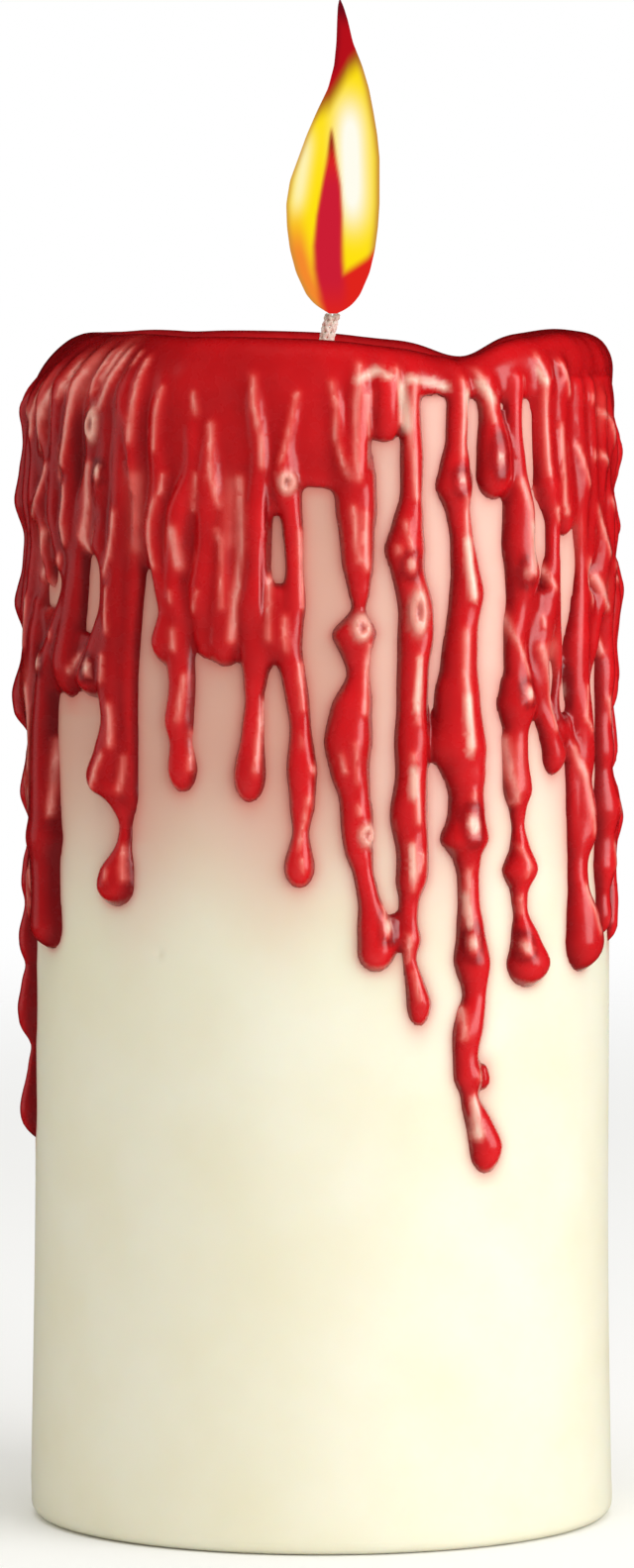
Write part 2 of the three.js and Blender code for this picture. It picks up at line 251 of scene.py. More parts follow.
# Pressed tinplate: a bright cold grey with the fine cloudy spangle of hot-dipped tin.
tinplate, tree, output = new_material("pressed tinplate")
place = add_node(tree, "ShaderNodeTexCoord").outputs["Object"]
spangle = add_node(tree, "ShaderNodeTexVoronoi", inputs={"Vector": place, "Scale": 1 / 0.0015})
sheen = add_node(tree, "ShaderNodeMapRange", inputs={
    "Value": spangle.outputs["Distance"], "To Min": 0.24, "To Max": 0.42})
surface = add_node(tree, "ShaderNodeBsdfPrincipled", inputs={
    "Base Color": linear("#C4C7CB"), "Metallic": 1.0, "Roughness": sheen.outputs["Result"]})
tree.links.new(surface.outputs["BSDF"], output.inputs["Surface"])

clip = mesh_piece("wick_clip", clip_points, clip_faces, tinplate)
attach(clip, "root")
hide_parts("wick_sustainer")


# ---------------------------------------------------------------------------------------------------
# The wick. Twelve cotton yarns braided into a round cord and primed with wax. It runs up the bore,
# through the red pool, and its bare tip leans to the right, charred where the flame feeds on it.

wick_low, wick_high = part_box("wick")
WICK_RADIUS = 1.0
WICK_FOOT = wick_low.z / MM
WICK_TIP = wick_high.z / MM
WICK_LEAN = wick_high.x / MM - 0.8
POOL_HEIGHT = 150.5
YARNS_EACH_WAY = 6
YARN_RADIUS = 0.27
YARN_SIDES = 6
BRAID_PITCH = 9.0
WEAVE_DEPTH = 0.45  # how far a yarn rises and dips as it crosses the others, in yarn radii
CHAR_HEIGHT = 1.4
BEND_START = POOL_HEIGHT + 0.5
STATION_STEP = 0.45


def braid_tree():
    """Geometry nodes that wind yarns round a path, half of them each way, over and under each other."""
    tree = bpy.data.node_groups.new("braided cord", "GeometryNodeTree")
    for name, kind in (("Geometry", "Geometry"), ("Yarns Each Way", "Int"), ("Yarn Radius", "Float"),
                       ("Cord Radius", "Float"), ("Pitch", "Float"), ("Material", "Material")):
        tree.interface.new_socket(name, in_out="INPUT", socket_type="NodeSocket" + kind)
    tree.interface.new_socket("Geometry", in_out="OUTPUT", socket_type="NodeSocketGeometry")
    given = add_node(tree, "NodeGroupInput").outputs
    path = add_node(tree, "GeometryNodeMeshToCurve", inputs={"Mesh": given["Geometry"]}).outputs["Curve"]
    travelled = add_node(tree, "GeometryNodeSplineParameter").outputs["Length"]
    laps = add_node(tree, "ShaderNodeMath", {"operation": "DIVIDE"}, {0: travelled, 1: given["Pitch"]})
    crossings = add_node(tree, "ShaderNodeMath", {"operation": "MULTIPLY"}, {
        0: laps.outputs[0], 1: given["Yarns Each Way"]})
    middle = add_node(tree, "ShaderNodeMath", {"operation": "SUBTRACT"}, {
        0: given["Cord Radius"], 1: given["Yarn Radius"]})
    joined = add_node(tree, "GeometryNodeJoinGeometry")
    for way in (1.0, -1.0):
        copies = add_node(tree, "GeometryNodeDuplicateElements", {"domain": "SPLINE"}, {
            "Geometry": path, "Amount": given["Yarns Each Way"]})
        start = add_node(tree, "ShaderNodeMath", {"operation": "DIVIDE"}, {
            0: copies.outputs["Duplicate Index"], 1: given["Yarns Each Way"]})
        turns = add_node(tree, "ShaderNodeMath", {"operation": "MULTIPLY_ADD"}, {
            0: laps.outputs[0], 1: way, 2: start.outputs[0]})
        angle = add_node(tree, "ShaderNodeMath", {"operation": "MULTIPLY"}, {
            0: turns.outputs[0], 1: 2 * math.pi})
        weave_angle = add_node(tree, "ShaderNodeMath", {"operation": "MULTIPLY_ADD"}, {
            0: crossings.outputs[0], 1: 2 * math.pi, 2: 0.0 if way > 0 else math.pi})
        weave = add_node(tree, "ShaderNodeMath", {"operation": "SINE"}, {0: weave_angle.outputs[0]})
        lift = add_node(tree, "ShaderNodeMath", {"operation": "MULTIPLY"}, {
            0: weave.outputs[0], 1: given["Yarn Radius"]})
        lane = add_node(tree, "ShaderNodeMath", {"operation": "MULTIPLY_ADD"}, {
            0: lift.outputs[0], 1: WEAVE_DEPTH, 2: middle.outputs[0]})
        offset = add_node(tree, "ShaderNodeCombineXYZ")
        for axis, turn in (("X", "COSINE"), ("Y", "SINE")):
            share = add_node(tree, "ShaderNodeMath", {"operation": turn}, {0: angle.outputs[0]})
            reach = add_node(tree, "ShaderNodeMath", {"operation": "MULTIPLY"}, {
                0: share.outputs[0], 1: lane.outputs[0]})
            tree.links.new(reach.outputs[0], offset.inputs[axis])
        wound = add_node(tree, "GeometryNodeSetPosition", inputs={
            "Geometry": copies.outputs["Geometry"], "Offset": offset.outputs[0]})
        tree.links.new(wound.outputs["Geometry"], joined.inputs["Geometry"])
    section = add_node(tree, "GeometryNodeCurvePrimitiveCircle", inputs={
        "Resolution": YARN_SIDES, "Radius": given["Yarn Radius"]})
    tubes = add_node(tree, "GeometryNodeCurveToMesh", inputs={
        "Curve": joined.outputs["Geometry"], "Profile Curve": section.outputs["Curve"],
        "Fill Caps": True})
    smooth = add_node(tree, "GeometryNodeSetShadeSmooth", inputs={"Geometry": tubes.outputs["Mesh"]})
    real = add_node(tree, "GeometryNodeRealizeInstances", inputs={"Geometry": smooth.outputs["Geometry"]})
    dressed = add_node(tree, "GeometryNodeSetMaterial", inputs={
        "Geometry": real.outputs["Geometry"], "Material": given["Material"]})
    add_node(tree, "NodeGroupOutput", inputs={"Geometry": dressed.outputs["Geometry"]})
    return tree


def set_inputs(modifier, values):
    """Sets a geometry nodes modifier's inputs by their names, through the sockets' identifiers."""
    for item in modifier.node_group.interface.items_tree:
        if item.in_out == "INPUT" and item.name in values:
            modifier[item.identifier] = values[item.name]


def made_plain(piece, name):
    """The piece's evaluated mesh as a plain object of that name; the piece and its modifiers go."""
    piece.update_tag()
    graph = bpy.context.evaluated_depsgraph_get()
    mesh = bpy.data.meshes.new_from_object(piece.evaluated_get(graph))
    plain = bpy.data.objects.new(name, mesh)
    mesh.name = name
    scene.collection.objects.link(plain)
    bpy.data.objects.remove(piece)
    return plain


# Primed cotton: matt cream yarn, mottled by its fibres, and scorched grey-brown at the very tip.
primed_cotton, tree, output = new_material("primed cotton braid")
place = add_node(tree, "ShaderNodeTexCoord").outputs["Object"]
level = add_node(tree, "ShaderNodeSeparateXYZ", inputs={"Vector": place}).outputs["Z"]
burnt = add_node(tree, "ShaderNodeMapRange", inputs={
    "Value": level, "From Min": (WICK_TIP - CHAR_HEIGHT) * MM, "From Max": WICK_TIP * MM})
fibres = add_node(tree, "ShaderNodeTexNoise", inputs={
    "Vector": place, "Scale": 1 / 0.0004, "Detail": 2.0})
cotton = add_node(tree, "ShaderNodeValToRGB", inputs={"Fac": fibres.outputs["Fac"]})
set_ramp(cotton, [(0.3, linear("#F3E8D2")), (0.7, linear("#FFFBF0"))])
charred = add_node(tree, "ShaderNodeMix", {"data_type": "RGBA"}, {
    "Factor": burnt.outputs["Result"], "A": cotton.outputs["Color"], "B": linear("#B8A890")})
surface = add_node(tree, "ShaderNodeBsdfPrincipled", inputs={
    "Base Color": charred.outputs["Result"], "Roughness": 0.85, "Sheen Weight": 0.3})
tree.links.new(surface.outputs["BSDF"], output.inputs["Surface"])

wick_heights = np.arange(WICK_FOOT + 0.1, WICK_TIP - 0.1, STATION_STEP)
bend = np.clip((wick_heights - BEND_START) / (WICK_TIP - BEND_START), 0, 1)
wick_path = np.array([(WICK_LEAN * b ** 1.5, 0.0, z) for b, z in zip(bend, wick_heights)])
path_links = [(i, i + 1) for i in range(len(wick_path) - 1)]
path_mesh = bpy.data.meshes.new("wick path")
path_mesh.from_pydata((wick_path * MM).tolist(), path_links, [])
wick_maker = bpy.data.objects.new("wick path", path_mesh)
scene.collection.objects.link(wick_maker)
winding = wick_maker.modifiers.new("braid", "NODES")
winding.node_group = braid_tree()
set_inputs(winding, {"Yarns Each Way": YARNS_EACH_WAY, "Yarn Radius": YARN_RADIUS * MM,
                     "Cord Radius": WICK_RADIUS * MM, "Pitch": BRAID_PITCH * MM,
                     "Material": primed_cotton})
braided_wick = made_plain(wick_maker, "braided_wick")
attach(braided_wick, "root")
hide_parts("wick")


# ---------------------------------------------------------------------------------------------------
# The red wax. Melted paraffin, dyed through, was poured over the top: it filled the crater, piled up on
# the rim and ran down the side, each drip freezing in beads. It set as one piece and grips the body.

COAT_RADIUS = 38.95
CREST_HEIGHT = 157.2
CREST_RADIUS = 33.5
TROUGH_X = 18.3  # a trough crosses the rim here, wider on the side of the wick
TROUGH_WIDTHS = (5.6, 4.6)
TROUGH_DEPTH = 2.85
SHOULDER_RADII = (6.0, 13.0)  # over the rim: tight on the right, a long slope on the left
POOL_RADIUS = 14.0  # the level middle of the dish inside the rim
DISH_RISE = 6.4
SUNK = 0.5  # how far inside the body's skin the wax ends
DRIP_BLEND = 0.8  # how far the join between two runs of wax is rounded over
DRIP_CROWN, FILM_CROWN = 1.3, 2.5  # 1 gives a round cross-section, and more a boxier one
FILM_RISE = 0.9
OVER_COAT = 0.75  # a drip that runs over the coat stands this much further out
INWARD = 1.5  # the deepest a drip goes into the wax under it
SHEET_SLACK, TIGHT_SLACK = 0.0315, 0.0185
FACE_RADIUS = 39.5  # about where the faces of the drips lie
MARK_REACH = 2.4  # a mark on a drip fades out within this many half widths
RING_WIDTH = 0.42
VOXEL = 0.5
GRID_HALF_WIDTH, GRID_FOOT, GRID_TOP = 43.5, 47.0, 160.0
DRIP_ZONE = (27.0, 44.0)  # no drip or mark lies nearer to the axis, or further out
RED_TRIANGLES = 190000

# The coat's ragged lower edge over the front: (bearing, height). Bearings here and below count in
# degrees from the front, and are positive to the right.
COAT_EDGE = [
    (-96, 141), (-90, 143), (-80, 145), (-70, 144), (-64, 146), (-54, 146), (-46, 147), (-41, 143),
    (-39.5, 139), (-38, 128), (-34.5, 126.5), (-32.5, 122), (-29, 119.5), (-25, 118.5), (-20, 118),
    (-15, 118), (-11.3, 119), (-10.6, 133.5), (-7, 134), (-6.6, 137), (-4, 137.2), (3, 136.8), (6, 135.6),
    (8.2, 137), (9.3, 143.5), (14.3, 143.4), (14.9, 149), (24, 148.8), (30.5, 148.6), (31.5, 148.2),
    (37.5, 148.3), (44.5, 148.5), (46, 147), (51, 148), (58, 146), (66, 147), (74, 145), (84, 146),
    (94, 144),
]

# Each drip from its top down: (height, bearing, half width), and last the height where it ends.
DRIPS = [
    # left edge, seen in profile from the front
    [(150, -83, 1), (146, -86, 2), (142, -85, 1.7), (138.5, -86, 2.3), (134.5, -86, 3.2), (130, -85, 1.5),
     (126, -85, 1.8), (121, -87, 3.2), (117, -86, 1.6), (114, -86, 2), (109, -87, 3.7), (106.5, -87, 3.3),
     (104, -84, 1), (101, -84, 1.4), (96, -85, 2.4), (92.3, -84, 0.9), (90, -84, 1.1), (87, -84, 1.9),
     (84, -85, 2.2), (81.5, -85, 1.5), (77, -86, 2.6), (75.4, -85, 2.4), (73.3, -85, 1.4), (71, -85, 2.1),
     (67.5, -86, 2.8), (65.4, -86, 2.5), (62.6, -85, 0.6), (60, -85, 1.1), (54.2, -86, 2.4), 50.2],
    [(150, -76, 1.2), (147, -77, 1.7), (141, -75, 1.7), (135, -73, 2.6), (129, -74, 1.8), (124, -76, 2.1),
     (117, -76, 2.6), (110, -77, 3.1), (104, -76, 1.9), (99, -74, 2.7), (92, -75, 1.8), (86, -74, 2.5),
     (81, -74.5, 2.2), 77.4],
    [(148, -79, 1), (140, -80.5, 1.8), (135, -80, 2.3), (130, -80, 1.4), (120, -81, 2.5), (116, -81, 1.7),
     (111, -81, 2.8), 107],
    [(152, -70.5, 1.6), (146, -70, 1.9), (139, -67.5, 1.7), (134.5, -70.5, 2.5), (128, -68.5, 1.6),
     (125.6, -66, 1.4), 123.6],
    [(153, -64, 1.8), (147, -63.5, 2), (141, -64.5, 1.7), (133, -65, 2.3), (127.6, -61, 1.9),
     (124.6, -58, 1.3), (119.5, -58.5, 2.2), (114, -61.5, 3), (110, -63.5, 2.9), (104.5, -65, 3.1),
     (99, -65.3, 3.4), (94, -65, 3.6), (91, -65, 4.2), (87.5, -65.3, 3.4), (84, -65, 3.3),
     (79.5, -64.7, 3.7), 76.2],
    [(121.2, -71, 1.6), (117.5, -67.5, 2.6), (111, -68.5, 2.7), (101, -70, 2.2), (92, -70, 1.9), 88],
    [(154, -57.5, 1.5), (149, -57.3, 1.9), (144, -58, 2), (140.8, -58.6, 2.4), (137, -58, 1.8),
     (132, -58.5, 2.5), (127.5, -56.5, 1.7), (121, -55.5, 2.1), (114.5, -55.5, 3.3), 109.6],
    [(154, -51.5, 1.3), (149, -50.5, 1.6), (144.8, -50.2, 2.5), (140, -51, 1.8), (136.5, -54, 1.5),
     (131, -55.2, 1.7), (127, -55, 1.7), (122, -54, 1.4), 118],
    [(154, -46.3, 1.5), (149, -46.5, 1.8), (142, -46.5, 2), (137.8, -48, 2.6), (133.5, -48.3, 1.5),
     (129.5, -48.5, 2.3), (126.8, -46.5, 1.7), (122, -45.5, 1.6), (117, -46, 2.6), (112.5, -48.5, 3.2),
     109.8],
    [(154, -41.5, 1.4), (148, -42, 1.9), (139, -42, 2.7), (133, -43.3, 2.2), (127, -43.5, 2.3),
     (119, -42.6, 2.7), (113, -43, 2.9), (107, -42.8, 2.4), (103, -43.4, 3.3), (100.2, -45.3, 3.9),
     (98.3, -44.9, 3.9), (96.4, -41.6, 1.9), (93.6, -40.5, 1), (91, -41, 1.3), (87.5, -43.2, 3),
     (85.8, -43.4, 3.2), 82.9],
    [(154, -38, 1.1), (149, -37.8, 1.4), (143.5, -38.8, 1.5), (136, -39.4, 1.3), (127, -38.8, 1.6),
     (116, -39, 1.6), (106, -39, 1.3), (98, -39, 1), 95],
    # front, over and under the coat
    [(151, -31, 0.9), (144, -32, 1.2), (138, -31, 1.3), (131.5, -32.5, 1.7), (126.5, -31.5, 1.3),
     (121.5, -29.8, 1.6), (117.6, -30.8, 2.3), 114.6],
    [(147, -25, 0.8), (140, -24.3, 1.2), (134.5, -27, 2.1), (126, -28.5, 1.5), (120.5, -27.5, 1.8),
     (116, -27.8, 2.1), (111.5, -27.3, 2), (107.2, -28.3, 2.2), (104.6, -27.9, 1.6), (101.3, -27.5, 2.2),
     98.1],
    [(145, -21.3, 1), (138, -21.5, 1.9), (130, -21.8, 1.6), (124, -23, 1.9), (118.5, -22.6, 1.6), 115.4],
    [(136, -18.3, 1.2), (129, -18.8, 1.3), (123, -19, 1.8), (117.8, -18.9, 2.5), 114.4],
    [(151.5, -13, 0.9), (147, -12.5, 1.3), (141, -11.6, 1.3), (134, -12.3, 1.8), (127, -12.2, 1.6),
     (121, -13, 2.4), (116.5, -12.6, 2.4), (112.7, -13, 1.6), (110, -13.3, 1.2), (106, -13.6, 1.5),
     (100.7, -14.2, 2.2), 97],
    [(149, -5, 0.8), (143, -7, 0.9), (138.6, -7, 1.9), (134, -5.8, 1.4), (127, -5.3, 1.1),
     (122, -5.6, 1.6), (116.5, -6.5, 1.7), (111.5, -5, 1.6), (107, -4.1, 1.4), (101.3, -3.9, 2),
     (97, -3.7, 1.7), (93.3, -4.1, 1.1), (88.9, -4.4, 2.05), 86.1],
    [(123.5, -9, 1.6), (119, -8.7, 2.4), 115],
    [(151, 2, 0.9), (145.5, 3.2, 1.1), (140, 4.2, 1.5), 136.8],
    [(153.5, 7.3, 1), (146, 6.8, 1.2), (138.6, 6.6, 2.6), (134.5, 6.6, 2.7), (131, 6.8, 2.3),
     (127.7, 6.9, 2.1), (124.4, 7.2, 1.5), (122, 7.3, 0.9), (118.8, 6, 3), (115.6, 6.4, 1.8),
     (113.8, 7.3, 1.4), (109.5, 5.6, 2.7), (105, 4.9, 3.2), (100.8, 5.2, 2.6), (97.5, 6.3, 2.1),
     (94.5, 6.6, 2.2), (91, 6.7, 1.9), (88, 7.8, 1.4), (84.5, 8.9, 1.5), (80.4, 10, 2.3),
     (78, 10.2, 2.45), 75.3],
    [(82.2, 13.4, 0.6), (80, 13.7, 0.9), 78.2],
    [(153, 12.2, 1.4), (149, 12.2, 1.5), (145.4, 12.3, 1.7), 143.2],
    [(152.5, 17.4, 1), (147, 17.4, 1.3), (141, 17.6, 1.6), (136.3, 17.5, 1.5), (133, 16.8, 2.1),
     (129.5, 16, 2.8), (126.3, 16.8, 2.3), (122.5, 18.5, 2.4), (118.3, 18.5, 2.5), (114.5, 17.9, 2.2),
     (109, 17.6, 2.1), (105, 17.4, 2.4), (100.5, 17.2, 2.2), (95.4, 16.3, 2.6), (90.5, 17.4, 2.2),
     (87, 17.2, 2.2), (84.5, 16.5, 1.4), (81.5, 16.4, 1.2), (79.3, 17.1, 1.5), (77, 16.5, 0.8),
     (74.3, 17.5, 1.3), (71.3, 18.7, 1.7), 68.2],
    [(152, 27.3, 1.3), (147, 27, 1.6), (143, 26.8, 1.6), (140.3, 26.6, 2.2), (137.3, 26.2, 2.75),
     (134.2, 27.2, 1.8), (131, 28, 1.7), (127, 28.8, 2.1), (123.6, 29.4, 2.6), (120, 28.2, 2.4),
     (115, 27.6, 2.7), (110, 27.3, 3.3), (104, 27.1, 4.1), (101, 28, 3.3), (97.8, 28.3, 2.6),
     (95.3, 28.4, 2.8), (92, 27.8, 3.7), (89.6, 28.4, 2.1), (87.3, 28.7, 1.6), (84, 28.8, 1.6),
     (80.5, 29.2, 2.1), (76.3, 29.5, 2.8), (72, 30.2, 1.8), (67.5, 28.6, 2.3), (64, 27.9, 1.9),
     (61.2, 28.7, 2.1), (59, 28.5, 1.3), (56.3, 30.6, 2), (52.5, 32.8, 2.6), 48.7],
    [(62.2, 31.8, 0.8), (61, 32.2, 1), 59.6],
    [(112, 24.5, 0.9), (108, 24.4, 1.2), (104.5, 23.6, 1.8), 101.4],
    [(152, 32.5, 1.2), (147, 34, 1.8), (142, 34.9, 2.7), (139, 34.9, 2.8), 135.6],
    [(151, 39.3, 1.5), (145, 39.3, 1.4), (139.5, 39.8, 1.8), (134, 40.7, 2.6), (129, 40.4, 2.7),
     (125.6, 42, 2.9), (121.5, 40.5, 1.9), (117, 39.6, 1.8), (113.5, 40, 1.9), (109.4, 40.3, 3.3),
     (105.7, 39.8, 2), (102, 39.7, 2), (98, 40.1, 2.4), (95.7, 40, 1.4), (93.4, 40, 1), (91.2, 40.6, 1.5),
     (87.8, 40.6, 3.1), (84.8, 40.3, 1.4), (82.3, 40.6, 1.2), (79, 42, 2.4), (75.8, 42.8, 3.75), 72.4],
    # right cluster
    [(153.5, 46.8, 1.2), (147, 47.2, 1.4), (141, 47.6, 1.7), (137.5, 48, 2.3), (133, 50, 1.4),
     (127, 50, 1.3), (121, 47.3, 2.3), (117.6, 46, 2.3), (113, 45.4, 1.3), (109.5, 46, 1.2),
     (106, 47.8, 1.7), (102.6, 50.2, 2.2), 99.6],
    [(122, 42.8, 1.3), (118.5, 43.8, 1.2), (114.5, 44.3, 1.1), 111],
    [(153, 51.8, 1.3), (147, 51.3, 1.5), (141, 51.8, 1.5), (135, 53.3, 1.9), (132.5, 54, 1.5), 130.6],
    [(127, 49.7, 1.3), (121, 50, 1.5), (117.5, 50.2, 1.5), (113, 52, 0.9), (109, 50.6, 0.8),
     (105.3, 52, 1.3), 103],
    [(150, 56.5, 1.6), (143, 57.5, 1.9), (137.5, 59, 2.2), (133, 58.8, 1.6), (127, 59.5, 1.1),
     (121, 59, 1.9), (117, 57.5, 2.7), (112, 57.6, 2.6), (106.5, 58.5, 2.8), (101.5, 59, 2.7),
     (98.7, 57.8, 2.4), (95, 58.6, 3), (91.5, 58.8, 3), (88.2, 57.2, 2), (84.8, 57.5, 2.1),
     (80.5, 59.2, 3.6), (77.8, 59.6, 4.1), 73.6],
    [(106.5, 53.2, 1), (103, 55, 1.2), (97, 55.6, 1.1), 91],
    [(150, 61.7, 1.5), (142.5, 62.3, 1.9), (136, 63.4, 1.6), (128.8, 62.3, 1.3), 126.7],
    [(148, 67, 1.7), (139.5, 67, 2), (134, 66.3, 1.5), (127.4, 68.3, 2.3), (122.4, 67.5, 1.5),
     (119, 65, 1.7), (115.8, 62.6, 1.9), (112, 60.8, 1.1), 109.5],
    [(149, 73, 0.8), (144.5, 74, 2.1), (138.5, 73, 1.4), (132, 73, 2.2), (124, 74, 2.3), (117.5, 72.3, 2),
     (112, 72, 2.5), (107, 70.3, 1.8), (102, 70.7, 2.4), (99.6, 70, 1.9), (94.6, 71.6, 3.4),
     (90.3, 71, 2.3), (87, 70.5, 2.6), (83.3, 70.7, 1.6), (80.6, 72.6, 1.9), 77.7],
    # just behind the right edge: short, thin runs
    [(145.5, 92, 0.7), (141, 93, 1.5), (136, 92, 0.6), (132, 91.5, 1.1), (128, 92, 0.6),
     (123.5, 92.5, 1.6), (115, 92, 0.8), (106, 93, 0.8), (101.5, 93, 1.4), 98],
    [(146, 99, 0.9), (142, 98.5, 1.5), (131, 100, 1.2), (121, 99, 1.7), (113, 100, 1.1), (104, 99.5, 1.5),
     (95, 100, 1.1), (88, 99.5, 1.5), 84.5],
    [(147, 106, 1.1), (141, 105, 1.9), (133, 106.5, 1.3), (125, 106, 2), (116, 105, 1.2), (110, 106, 1),
     (105, 106, 1.9), 101],
    # right edge, seen in profile from the front
    [(146.5, 84, 0.5), (144, 85, 1.2), (141, 86, 2.1), (138.3, 84.5, 1.4), (136, 84, 0.7),
     (133.5, 84.5, 1.2), (131, 85.5, 1.8), (128.3, 84, 0.6), (126, 85, 1.5), (122.9, 86, 2.3),
     (119, 85, 1.6), (115.5, 85, 1.2), (111.5, 85.5, 1.6), (108, 84, 0.7), (104, 85, 1.2),
     (101.5, 85, 1.4), (99.3, 83, 0.6), (96, 84.5, 1.6), (92.8, 85.5, 2.3), (89, 83.5, 1.3),
     (85.5, 83, 1.3), (81.8, 83.5, 1.6), (79.3, 83, 1.5), 76.4],
    [(147, 79, 0.8), (141, 79, 1.8), (136, 79.5, 1), (130.5, 80, 1.8), (127, 80, 1.3), (121.5, 80, 2.2),
     (116, 79.5, 1.4), (111, 79, 1.9), 106],
    [(101, 78, 1), (93.5, 79, 2.2), (86, 77, 1.4), 83],
]
